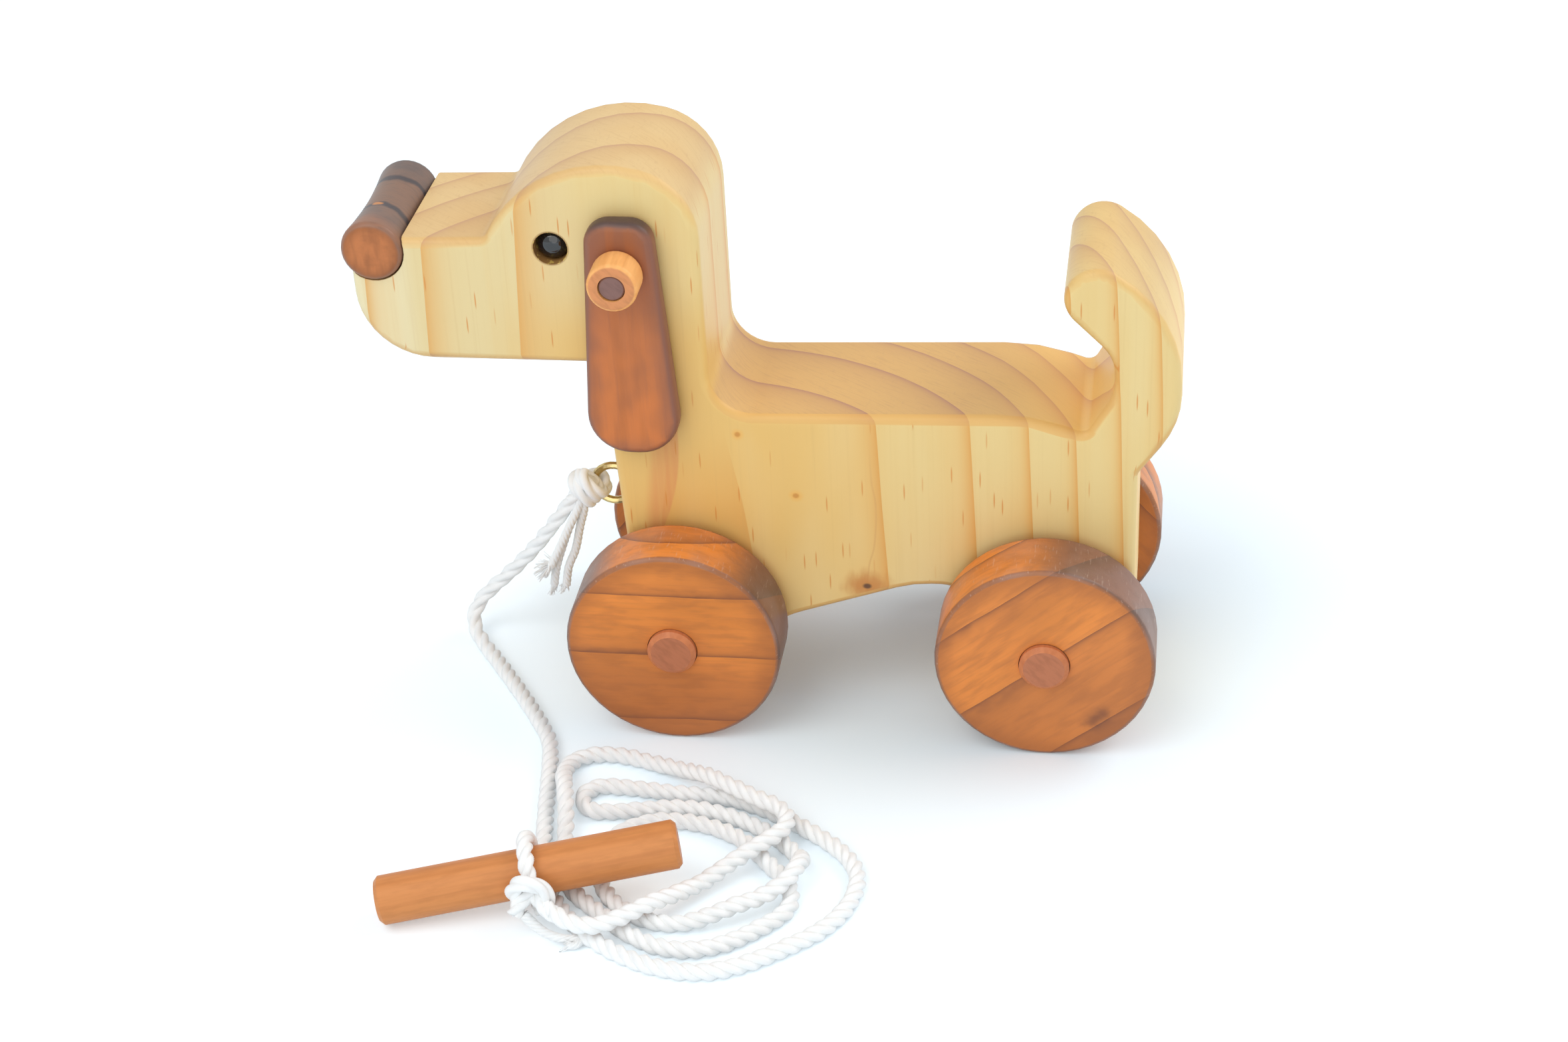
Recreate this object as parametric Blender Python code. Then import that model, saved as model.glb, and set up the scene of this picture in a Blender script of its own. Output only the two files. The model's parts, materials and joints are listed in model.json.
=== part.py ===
"""A wooden dog on four wheels, pulled along by a cord with a dowel handle.

Metres, +Z up. The dog faces -X and stands on z = 0, and the board it is sawn from is centred on y = 0.
Sizes along the board are measured from the front axle and from the axle line, so the object is drawn
in a frame under the front axle and then shifted until the nose and the tail lie evenly about x = 0.
"""

import math

import bmesh
import bpy
from mathutils import Matrix, Vector

# Wheels and axles
WHEEL_RADIUS = 0.028
WHEEL_THICKNESS = 0.0171
WHEEL_EDGE_ROUND = 0.0014
WHEELBASE = 0.0958
WHEEL_SIDE_GAP = 0.0028
AXLE_DIAMETER = 0.0127
AXLE_OVERHANG = 0.0022
AXLE_CHAMFER = 0.0011

# Fits
GLUE_GAP = 0.0002
RUNNING_GAP = 0.0004
REST_GAP = 0.0003

# The board and its outline: lengths from the front axle, heights from the axle line
BOARD_THICKNESS = 0.042
BOARD_EDGE_ROUND = 0.0023
SNOUT_FRONT = 0.0787
SNOUT_TOP = 0.1066
SNOUT_DROP = 0.0008
SNOUT_CORNER_ROUND = 0.0040
JAW_HEIGHT = 0.0725
JAW_ROUND = 0.0186
STOP_ROUND = 0.0025
FOREHEAD_RADIUS = 0.0347
FOREHEAD_TURN = 75.5
CROWN_RADIUS = 0.0185
CROWN_HEIGHT = 0.1259
NECK_BACK = 0.0102
NECK_ROUND = 0.0110
THROAT = 0.0173
THROAT_ROUND = 0.0040
BACK_FRONT_HEIGHT = 0.0583
BACK_REAR_HEIGHT = 0.0606
BACK_END = 0.0050
BACK_END_ROUND = 0.0500
LEG_DROP = 0.0130
FOOT_ROUND = 0.0090
FRONT_FOOT = 0.0125
FRONT_HEEL = 0.0080
BELLY_START = 0.0290
BELLY_START_DROP = 0.0014
BELLY_END = 0.0350
BELLY_HEIGHT = 0.0094
BELLY_ROUND = 0.0280
HIND_LEG_FRONT = 0.0190
HIND_ARCH_ROUND = 0.0090

# The rump and the tail: lengths from the rear axle, and rises from the rump's step and from the tail's root
HIND_LEG_BACK = 0.0220
RUMP_STEP_HEIGHT = 0.0445
TAIL_REACH = 0.0323
TAIL_ROOT_RISE = 0.0145
TAIL_ROOT_ROUND = 0.0250
TAIL_BACK_RADIUS = 0.0350
TAIL_BACK_RISE = 0.0112
TAIL_TIP_RADIUS = 0.0082
TAIL_TIP_TURN = 58.5
TAIL_UNDER_TURN = 225.0
TAIL_INSIDE = 0.0158
TAIL_INSIDE_ROUND = 0.0120
TAIL_VALLEY = 0.0090
TAIL_VALLEY_HEIGHT = 0.0558

# Nose
NOSE_RADIUS = 0.0079
NOSE_WAIST = 0.0009
NOSE_LENGTH = 0.0396
NOSE_EDGE_ROUND = 0.0018
NOSE_SETBACK = 0.0062
NOSE_DROP = 0.0036
NOSE_SHIFT = -0.0024

# Eyes
EYE_SETBACK = 0.0269
EYE_HEIGHT = 0.1046
EYE_HOLE_DIAMETER = 0.0086
EYE_HOLE_DEPTH = 0.0060
EYE_RECESS = 0.0008
EYE_DOME_HEIGHT = 0.0031
EYE_STEM_DIAMETER = 0.0030
EYE_STEM_LENGTH = 0.0060

# Ears, their pin and its caps
EAR_PIN_SETBACK = 0.0088
EAR_PIN_HEIGHT = 0.1018
EAR_PIN_DIAMETER = 0.0064
EAR_PIN_CHAMFER = 0.0003
EAR_PIN_INSET = 0.0003
EAR_THICKNESS = 0.0060
EAR_SIDE_GAP = 0.0005
EAR_ABOVE_PIN = 0.0128
EAR_BELOW_PIN = 0.0515
EAR_TOP_FRONT = 0.0081
EAR_TOP_BACK = 0.0085
EAR_END_FRONT = 0.0120
EAR_END_BACK = 0.0128
EAR_TOP_ROUND = 0.0062
EAR_END_ROUND = 0.0105
EAR_EDGE_ROUND = 0.0019
EAR_CAP_DIAMETER = 0.0127
EAR_CAP_LENGTH = 0.0090
EAR_CAP_ROUND = 0.0012

# Screw eye
SCREW_EYE_HEIGHT = 0.0253
SCREW_EYE_RADIUS = 0.00535
SCREW_EYE_WIRE = 0.0021
SCREW_EYE_STANDOFF = 0.0011
SCREW_SHANK_LENGTH = 0.0120

# Cord, knots and handle
CORD_DIAMETER = 0.0040
CORD_JOIN_GAP = 0.0003
CORD_PILE_GAP = 0.0006
CORD_FLOOR_GAP = 0.0001
KNOT_CORD_RADIUS = 0.0017
KNOT_TURN_SINK = 0.0011
KNOT_TURN_SPREAD = 0.0008
RING_KNOT_RADIUS = 0.0034
RING_KNOT_PLACE = (-0.0021, -0.0046, 0.0008)
RING_LOOP_CORD_RADIUS = 0.0016
HANDLE_KNOT_RADIUS = 0.0044
TAIL_STRAND_DIAMETER = 0.0019
HANDLE_DIAMETER = 0.0120
HANDLE_LENGTH = 0.0740
HANDLE_CHAMFER = 0.0010
HANDLE_CENTRE = (-0.0242, -0.1114, 0.0101)
HANDLE_TURN = 14.2
HANDLE_TILT = 6.2
HANDLE_WRAP_SHIFT = -0.0005
HANDLE_WRAP_CORD_RADIUS = 0.0017
HANDLE_KNOT_STANDOFF = 0.0036
HANDLE_KNOT_SHIFT = 0.0003
HANDLE_KNOT_RISE = 0.0005

# Facets
ROUND_SEGMENTS = 32
WHEEL_SEGMENTS = 48
RING_SEGMENTS = 24
RING_SIDES = 8
SHANK_SEGMENTS = 12
BALL_SEGMENTS = 14
BALL_ROWS = 8
BALL_END_ROWS = 0.35
ARC_STEP = 9.0
EDGE_STEPS = 3
DOME_STEPS = 6
NOSE_STATIONS = 3
SHARP_ANGLE = 35.0

# How finely the cord's curves are followed: parts of a stretch, points of a loop, and steps along the line
ROUTE_PARTS = 16
POINTS_PER_LOOP = 24
FINE_STEP = 0.0010
PLAIN_STEP = 0.0060
COIL_STEP = 0.0120
PLAIN_BEVEL_STEPS = 2
COIL_BEVEL_STEPS = 1
DIAMETERS_APART = 3

# The lead's own points, from the ring knot down to the floor and along it to the coil
LEAD_ROUTE = (
    (-0.0309, -0.0038, 0.0516),
    (-0.0348, -0.0028, 0.0461),
    (-0.0389, -0.0014, 0.0402),
    (-0.0436, 0.0009, 0.0334),
    (-0.0486, 0.0032, 0.0268),
    (-0.0536, 0.0048, 0.0209),
    (-0.0584, 0.0058, 0.0159),
    (-0.0624, 0.0061, 0.0117),
    (-0.0649, 0.0053, 0.0081),
    (-0.0655, 0.0032, 0.0052),
    (-0.0640, -0.0003, 0.0032),
    (-0.0604, -0.0055, 0.0022),
    (-0.0555, -0.0124, 0.0021),
    (-0.0461, -0.0262, 0.0021),
    (-0.0375, -0.0401, 0.0021),
    (-0.0331, -0.0490, 0.0021),
    (-0.0304, -0.0620, 0.0021),
    (-0.0282, -0.0760, 0.0021),
    (-0.0262, -0.0880, 0.0021),
)

# The coil's turns, from the lead to its last quarter: place, layers of cord beneath, heading in degrees
COIL_TURNS = (
    (-0.0262, -0.0880, 0.0, -80),
    (-0.0254, -0.0925, 0.0, -79),
    (-0.0088, -0.1232, 0.0, -40),
    (0.0185, -0.1349, 0.0, 0),
    (0.0435, -0.1215, 0.0, 40),
    (0.0541, -0.1000, 0.0, 90),
    (0.0364, -0.0776, 0.0, 145),
    (0.0100, -0.0676, 0.0, 180),
    (-0.0142, -0.0658, 0.0, 180),
    (-0.0195, -0.0711, 0.0, -90),
    (-0.0142, -0.0764, 0.0, 0),
    (0.0070, -0.0732, 0.0, 0),
    (0.0250, -0.0785, 0.0, -30),
    (0.0375, -0.0893, 0.0, -52),
    (0.0396, -0.1010, 1.15, -102),
    (0.0288, -0.1125, 0.7, -152),
    (0.0110, -0.1181, 0.0, 180),
    (-0.0105, -0.0955, 0.0, 95),
    (0.0050, -0.0786, 0.0, 0),
    (0.0278, -0.0893, 0.0, -52),
    (0.0390, -0.1075, 0.0, -88),
    (0.0311, -0.1196, 0.0, -135),
    (0.0150, -0.1273, 0.0, 180),
    (-0.0059, -0.1162, 0.0, 138),
    (-0.0182, -0.1010, 0.0, 102),
    (-0.0190, -0.0968, 0.0, 100),
)

# The last stretch's own points, from the coil over the loops to the handle's knot
END_ROUTE = (
    (-0.0190, -0.0968, 0.0021),
    (-0.0198, -0.0925, 0.0021),
    (-0.0206, -0.0880, 0.0029),
    (-0.0214, -0.0825, 0.0048),
    (-0.0226, -0.0770, 0.0065),
    (-0.0240, -0.0715, 0.0064),
    (-0.0254, -0.0665, 0.0050),
    (-0.0259, -0.0615, 0.0036),
    (-0.0250, -0.0570, 0.0027),
    (-0.0222, -0.0538, 0.0022),
    (-0.0180, -0.0524, 0.0021),
    (-0.0120, -0.0528, 0.0021),
    (-0.0040, -0.0553, 0.0022),
    (0.0051, -0.0596, 0.0036),
    (0.0115, -0.0642, 0.0060),
    (0.0175, -0.0688, 0.0070),
    (0.0262, -0.0740, 0.0069),
    (0.0312, -0.0768, 0.0069),
    (0.0342, -0.0803, 0.0069),
    (0.0346, -0.0845, 0.0069),
    (0.0326, -0.0884, 0.0069),
    (0.0286, -0.0930, 0.0068),
    (0.0232, -0.0984, 0.0058),
    (0.0170, -0.1048, 0.0044),
    (0.0114, -0.1112, 0.0055),
    (0.0060, -0.1172, 0.0070),
    (0.0000, -0.1226, 0.0069),
    (-0.0054, -0.1258, 0.0069),
    (-0.0113, -0.1257, 0.0073),
    (-0.0173, -0.1228, 0.0085),
)

# The unlaid strands under the ring knot, by how far each hangs from it, and the tail of the handle's knot
RING_TAIL_ROOT = (0.0022, -0.0008, -0.0018)
RING_TAILS = ((-0.0154, -0.0002, -0.0287), (-0.0126, 0.0030, -0.0332), (-0.0090, 0.0050, -0.0334))
HANDLE_TAIL = (
    (-0.0222, -0.1208, 0.0080),
    (-0.0215, -0.1236, 0.0050),
    (-0.0190, -0.1258, 0.0030),
    (-0.0160, -0.1272, 0.0022),
    (-0.0132, -0.1280, 0.0021),
)

# How the turns of each knot lean from the cord's pull, and how its loop lies on the ring
RING_LOOP_AXIS = (0.25, 0, 1)
RING_KNOT_LEANS = ((0, -0.25, 0), (0, 0.25, 0))
HANDLE_KNOT_LEANS = ((0.25, 0, 0.15), (-0.25, 0, 0.15))


def axle_height():
    return WHEEL_RADIUS


def tail_rear():
    return WHEELBASE + TAIL_REACH


def nose_axis():
    """The nose lies across the top corner of the snout."""
    return -SNOUT_FRONT + NOSE_SETBACK, SNOUT_TOP - NOSE_DROP


def front_axle_x():
    nose_front = nose_axis()[0] - NOSE_RADIUS
    return -(nose_front + tail_rear()) / 2


def make_material(name, colour, roughness, metallic=0.0):
    material = bpy.data.materials.new(name)
    material.use_nodes = True
    shader = material.node_tree.nodes["Principled BSDF"]
    shader.inputs["Base Color"].default_value = (*colour, 1.0)
    shader.inputs["Roughness"].default_value = roughness
    shader.inputs["Metallic"].default_value = metallic
    return material


def make_materials():
    return {
        "pine": make_material("pale_pine", (0.78, 0.56, 0.26), 0.45),
        "stained": make_material("stained_pine", (0.40, 0.13, 0.035), 0.42),
        "dowel": make_material("reddish_dowel", (0.42, 0.15, 0.06), 0.5),
        "cap": make_material("orange_dowel", (0.66, 0.27, 0.07), 0.45),
        "handle": make_material("handle_dowel", (0.58, 0.20, 0.05), 0.42),
        "nose": make_material("dark_wood", (0.11, 0.06, 0.045), 0.4),
        "pin": make_material("pin_dowel", (0.16, 0.08, 0.05), 0.55),
        "eye": make_material("gloss_black", (0.008, 0.008, 0.009), 0.08),
        "brass": make_material("brass", (0.60, 0.46, 0.20), 0.28, 1.0),
        "cotton": make_material("white_cotton", (0.86, 0.84, 0.80), 0.9),
    }


def add_object(name, mesh, material, place, parent):
    """One named sub-part, drawn about its own origin and placed in the frame under the front axle."""
    obj = bpy.data.objects.new(name, mesh)
    bpy.context.scene.collection.objects.link(obj)
    mesh.materials.append(material)
    if isinstance(mesh, bpy.types.Mesh):
        mesh.shade_smooth()
        mesh.set_sharp_from_angle(angle=math.radians(SHARP_ANGLE))
    obj.matrix_world = place if isinstance(place, Matrix) else Matrix.Translation(place)
    obj.parent = parent
    return obj


def add_cutter(mesh, place, parent):
    obj = bpy.data.objects.new("cutter", mesh)
    bpy.context.scene.collection.objects.link(obj)
    obj.matrix_world = place if isinstance(place, Matrix) else Matrix.Translation(place)
    obj.parent = parent
    obj.hide_render = True
    obj.display_type = "WIRE"
    return obj


def combine(obj, operation, others):
    for other in others:
        modifier = obj.modifiers.new(operation.lower(), "BOOLEAN")
        modifier.operation = operation
        modifier.solver = "EXACT"
        modifier.object = other


def mesh_from(points, faces):
    mesh = bpy.data.meshes.new("shape")
    shape = bmesh.new()
    corners = [shape.verts.new(point) for point in points]
    for face in faces:
        shape.faces.new([corners[index] for index in face])
    bmesh.ops.recalc_face_normals(shape, faces=shape.faces)
    shape.to_mesh(mesh)
    shape.free()
    return mesh


def arc(centre_x, centre_z, radius, start, end):
    """Points along an arc, angles in degrees."""
    count = max(2, round(abs(end - start) / ARC_STEP))
    angles = [math.radians(start + (end - start) * i / count) for i in range(count + 1)]
    return [(centre_x + radius * math.cos(a), centre_z + radius * math.sin(a)) for a in angles]


def rounded(corners):
    """A closed outline from (x, z, radius) corners, each rounded where its radius isn't zero."""
    points = []
    for i, (x, z, radius) in enumerate(corners):
        corner = Vector((x, z))
        if radius == 0:
            points.append((x, z))
            continue
        before = (Vector(corners[i - 1][:2]) - corner).normalized()
        after = (Vector(corners[(i + 1) % len(corners)][:2]) - corner).normalized()
        half = before.angle(after) / 2
        centre = corner + (before + after).normalized() * radius / math.sin(half)
        first = corner + before * radius / math.tan(half) - centre
        turn = first.angle_signed(corner + after * radius / math.tan(half) - centre)
        count = max(2, round(abs(math.degrees(turn)) / ARC_STEP))
        for step in range(count + 1):
            spoke = first.copy()
            spoke.rotate(Matrix.Rotation(-turn * step / count, 2))
            points.append(tuple(centre + spoke))
    return points


def plank(outline, thickness, edge_round):
    """A sawn board: the outline across Y, with both of its edges rounded over."""
    count = len(outline)
    inward = []
    for i, point in enumerate(outline):
        along = Vector(outline[(i + 1) % count]) - Vector(outline[i - 1])
        inward.append(Vector((-along.y, along.x)).normalized())
    rings = []
    for side in (-1, 1):
        angles = [math.pi / 2 * step / EDGE_STEPS for step in range(EDGE_STEPS + 1)]
        for angle in angles if side == 1 else reversed(angles):
            inset = edge_round * (1 - math.cos(angle))
            across = side * (thickness / 2 - edge_round * (1 - math.sin(angle)))
            rings.append((inset, across))
    points = []
    for inset, across in rings:
        for (x, z), normal in zip(outline, inward):
            points.append((x + normal.x * inset, across, z + normal.y * inset))
    faces = []
    for ring in range(len(rings) - 1):
        for i in range(count):
            j = (i + 1) % count
            low, high = ring * count, (ring + 1) * count
            faces.append((low + i, low + j, high + j, high + i))
    faces.append(tuple(range(count)))
    faces.append(tuple(range((len(rings) - 1) * count, len(rings) * count)))
    return mesh_from(points, faces)


def turned(profile, segments=ROUND_SEGMENTS, ring=False):
    """A shape turned about Y from (y, radius) points: solid between two flat ends, or a ring with a bore.

    A flat side of the polygon faces straight down, and the radii are those of the flats.
    """
    points = []
    for y, radius in profile:
        corner_radius = radius / math.cos(math.pi / segments)
        for i in range(segments):
            angle = 2 * math.pi * (i + 0.5) / segments
            points.append((corner_radius * math.sin(angle), y, corner_radius * math.cos(angle)))
    faces = []
    rows = len(profile)
    for row in range(rows if ring else rows - 1):
        low, high = row * segments, (row + 1) % rows * segments
        for i in range(segments):
            j = (i + 1) % segments
            faces.append((low + i, low + j, high + j, high + i))
    if not ring:
        faces.append(tuple(range(segments)))
        faces.append(tuple(range((rows - 1) * segments, rows * segments)))
    return mesh_from(points, faces)


def rod_profile(length, radius, end_size, steps=1):
    """A rod's profile about its middle: both ends have a chamfer (one step) or a rounding (several)."""
    start = []
    for step in range(steps + 1):
        angle = math.pi / 2 * step / steps
        inset = end_size * (1 - math.cos(angle))
        start.append((inset - length / 2, radius - end_size * (1 - math.sin(angle))))
    return start + [(-y, r) for y, r in reversed(start)]


def bored_profile(length, radius, end_size, bore_radius, steps):
    bore = [(length / 2, bore_radius), (-length / 2, bore_radius)]
    return rod_profile(length, radius, end_size, steps) + bore


def torus(ring_radius, tube_radius):
    """A ring of round wire or cord about Y."""
    angles = [2 * math.pi * i / RING_SIDES for i in range(RING_SIDES)]
    profile = [(tube_radius * math.sin(a), ring_radius + tube_radius * math.cos(a)) for a in angles]
    return turned(profile, RING_SEGMENTS, ring=True)


def ball(radius):
    """A ball with small flat ends on Y."""
    profile = []
    for row in range(BALL_ROWS + 1):
        angle = math.pi * (row + BALL_END_ROWS) / (BALL_ROWS + 2 * BALL_END_ROWS)
        profile.append((-radius * math.cos(angle), radius * math.sin(angle)))
    return turned(profile, BALL_SEGMENTS)


def chest_x(height):
    """The front of the chest at a height over the axles: it leans forward from the foot to the throat."""
    lean = (THROAT - FRONT_FOOT) / (JAW_HEIGHT + LEG_DROP)
    return -(FRONT_FOOT + lean * (height + LEG_DROP))


def body_outline():
    """The dog's side view, anticlockwise from the jaw: x from the front axle, height from the axles."""
    rear = WHEELBASE
    crown_x = NECK_BACK - CROWN_RADIUS
    crown_z = CROWN_HEIGHT - CROWN_RADIUS
    forehead_x = crown_x - (FOREHEAD_RADIUS - CROWN_RADIUS) * math.cos(math.radians(FOREHEAD_TURN))
    forehead_z = crown_z - (FOREHEAD_RADIUS - CROWN_RADIUS) * math.sin(math.radians(FOREHEAD_TURN))
    stop_angle = 180 - math.degrees(math.asin((SNOUT_TOP - forehead_z) / FOREHEAD_RADIUS))
    tail_x = rear + TAIL_REACH - TAIL_BACK_RADIUS
    tail_root_z = RUMP_STEP_HEIGHT + TAIL_ROOT_RISE
    tail_back_z = tail_root_z + TAIL_BACK_RISE
    tip_turn = math.radians(TAIL_TIP_TURN)
    tip_x = tail_x + (TAIL_BACK_RADIUS - TAIL_TIP_RADIUS) * math.cos(tip_turn)
    tip_z = tail_back_z + (TAIL_BACK_RADIUS - TAIL_TIP_RADIUS) * math.sin(tip_turn)
    tip = arc(tip_x, tip_z, TAIL_TIP_RADIUS, TAIL_TIP_TURN, TAIL_UNDER_TURN)
    under = tip[-1]
    inside_x = rear + TAIL_INSIDE
    inside_z = under[1] - (inside_x - under[0]) / math.tan(math.radians(TAIL_UNDER_TURN))
    corners = [
        (-SNOUT_FRONT, JAW_HEIGHT, JAW_ROUND),
        (-THROAT, JAW_HEIGHT, THROAT_ROUND),
        (-FRONT_FOOT, -LEG_DROP, FOOT_ROUND),
        (FRONT_HEEL, -LEG_DROP, FOOT_ROUND),
        (BELLY_START, -BELLY_START_DROP, BELLY_ROUND),
        (rear - BELLY_END, BELLY_HEIGHT, BELLY_ROUND),
        (rear - HIND_LEG_FRONT, BELLY_HEIGHT, HIND_ARCH_ROUND),
        (rear - HIND_LEG_FRONT, -LEG_DROP, FOOT_ROUND),
        (rear + HIND_LEG_BACK, -LEG_DROP, FOOT_ROUND),
        (rear + HIND_LEG_BACK, RUMP_STEP_HEIGHT, STOP_ROUND),
        (rear + TAIL_REACH, tail_root_z, TAIL_ROOT_ROUND),
    ]
    corners += [(x, z, 0) for x, z in arc(tail_x, tail_back_z, TAIL_BACK_RADIUS, 0, TAIL_TIP_TURN)]
    corners += [(x, z, 0) for x, z in tip[1:]]
    corners += [
        (inside_x, inside_z, TAIL_INSIDE_ROUND),
        (inside_x, TAIL_VALLEY_HEIGHT + TAIL_INSIDE_ROUND, TAIL_INSIDE_ROUND),
        (rear + TAIL_VALLEY, TAIL_VALLEY_HEIGHT, STOP_ROUND),
        (rear - BACK_END, BACK_REAR_HEIGHT, BACK_END_ROUND),
        (NECK_BACK, BACK_FRONT_HEIGHT, NECK_ROUND),
    ]
    corners += [(x, z, 0) for x, z in arc(crown_x, crown_z, CROWN_RADIUS, 0, FOREHEAD_TURN)]
    forehead = arc(forehead_x, forehead_z, FOREHEAD_RADIUS, FOREHEAD_TURN, stop_angle)
    corners += [(x, z, 0) for x, z in forehead[1:-1]]
    corners += [
        (*forehead[-1], STOP_ROUND),
        (-SNOUT_FRONT, SNOUT_TOP - SNOUT_DROP, SNOUT_CORNER_ROUND),
    ]
    return rounded(corners)


def make_body(materials, root):
    height = axle_height()
    mesh = plank(body_outline(), BOARD_THICKNESS, BOARD_EDGE_ROUND)
    body = add_object("body", mesh, materials["pine"], (0, 0, height), root)
    through = BOARD_THICKNESS * 2
    bore = AXLE_DIAMETER / 2 + RUNNING_GAP
    nose_x, nose_z = nose_axis()
    straight = [
        (bore, (0, 0, height)),
        (bore, (WHEELBASE, 0, height)),
        (EAR_PIN_DIAMETER / 2 + GLUE_GAP, (-EAR_PIN_SETBACK, 0, height + EAR_PIN_HEIGHT)),
        (NOSE_RADIUS + REST_GAP, (nose_x, 0, height + nose_z)),
    ]
    cutters = []
    for radius, place in straight:
        rod = turned([(-through / 2, radius), (through / 2, radius)])
        cutters.append(add_cutter(rod, place, root))
    for side in (-1, 1):
        cutters.append(add_cutter(eye_socket(), eye_place(side), root))
    pilot_radius = SCREW_EYE_WIRE / 2 + REST_GAP
    pilot = turned([(-through / 2, pilot_radius), (SCREW_SHANK_LENGTH + REST_GAP, pilot_radius)])
    cutters.append(add_cutter(pilot, screw_place(), root))
    combine(body, "DIFFERENCE", cutters)


def eye_place(side):
    """An eye's frame: its origin on the board's face, its own +Y pointing out of the dog."""
    place = Matrix.Translation((-EYE_SETBACK, side * BOARD_THICKNESS / 2, axle_height() + EYE_HEIGHT))
    return place @ Matrix.Rotation(0 if side == 1 else math.pi, 4, "Z")


def eye_socket():
    hole = EYE_HOLE_DIAMETER / 2
    stem = EYE_STEM_DIAMETER / 2 + GLUE_GAP
    stem_depth = EYE_HOLE_DEPTH + EYE_STEM_LENGTH + REST_GAP
    return turned([(-stem_depth, stem), (-EYE_HOLE_DEPTH, stem), (-EYE_HOLE_DEPTH, hole), (hole, hole)])


def make_eyes(materials, root):
    """A glossy domed bead on a stem, sunk below the board's face so that the ear swings past it."""
    radius = EYE_HOLE_DIAMETER / 2 - GLUE_GAP
    stem = EYE_STEM_DIAMETER / 2
    floor = -EYE_HOLE_DEPTH + REST_GAP
    dome_base = -EYE_RECESS - EYE_DOME_HEIGHT
    profile = [(floor - EYE_STEM_LENGTH, stem), (floor, stem), (floor, radius), (dome_base, radius)]
    for step in range(1, DOME_STEPS):
        angle = math.pi / 2 * step / DOME_STEPS
        profile.append((dome_base + EYE_DOME_HEIGHT * math.sin(angle), radius * math.cos(angle)))
    for side, name in ((-1, "eye_left"), (1, "eye_right")):
        add_object(name, turned(profile), materials["eye"], eye_place(side), root)


def make_nose(materials, root):
    """A slightly waisted dowel across the snout, set a little toward the left side."""
    x, z = nose_axis()
    ends = rod_profile(NOSE_LENGTH, NOSE_RADIUS, NOSE_EDGE_ROUND, EDGE_STEPS)
    middle = len(ends) // 2
    straight = NOSE_LENGTH / 2 - NOSE_EDGE_ROUND
    waist = []
    for station in range(1 - NOSE_STATIONS, NOSE_STATIONS):
        share = station / NOSE_STATIONS
        waist.append((straight * share, NOSE_RADIUS - NOSE_WAIST * (1 - share**2)))
    mesh = turned(ends[:middle] + waist + ends[middle:])
    add_object("nose", mesh, materials["nose"], (x, NOSE_SHIFT, axle_height() + z), root)


def wheel_outer_face():
    return BOARD_THICKNESS / 2 + WHEEL_SIDE_GAP + WHEEL_THICKNESS


def make_wheelsets(materials, root):
    """Each axle is glued into its two wheels and turns in the board's bore."""
    axle_length = 2 * (wheel_outer_face() + AXLE_OVERHANG)
    axle = rod_profile(axle_length, AXLE_DIAMETER / 2, AXLE_CHAMFER)
    hub = AXLE_DIAMETER / 2 + GLUE_GAP
    wheel = bored_profile(WHEEL_THICKNESS, WHEEL_RADIUS, WHEEL_EDGE_ROUND, hub, EDGE_STEPS)
    for end, x in (("front", 0), ("rear", WHEELBASE)):
        place = (x, 0, axle_height())
        add_object(f"axle_{end}", turned(axle), materials["dowel"], place, root)
        for side, hand in ((-1, "left"), (1, "right")):
            centre = side * (wheel_outer_face() - WHEEL_THICKNESS / 2)
            mesh = turned([(y + centre, r) for y, r in wheel], WHEEL_SEGMENTS, ring=True)
            add_object(f"wheel_{end}_{hand}", mesh, materials["stained"], place, root)


def ear_outer_face():
    return BOARD_THICKNESS / 2 + EAR_SIDE_GAP + EAR_THICKNESS


def ear_outline():
    """The ear from the front, about its pin: a tapered slip with rounded corners, hanging down."""
    return rounded([
        (-EAR_TOP_FRONT, EAR_ABOVE_PIN, EAR_TOP_ROUND),
        (-EAR_END_FRONT, -EAR_BELOW_PIN, EAR_END_ROUND),
        (EAR_END_BACK, -EAR_BELOW_PIN, EAR_END_ROUND),
        (EAR_TOP_BACK, EAR_ABOVE_PIN, EAR_TOP_ROUND),
    ])


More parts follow.
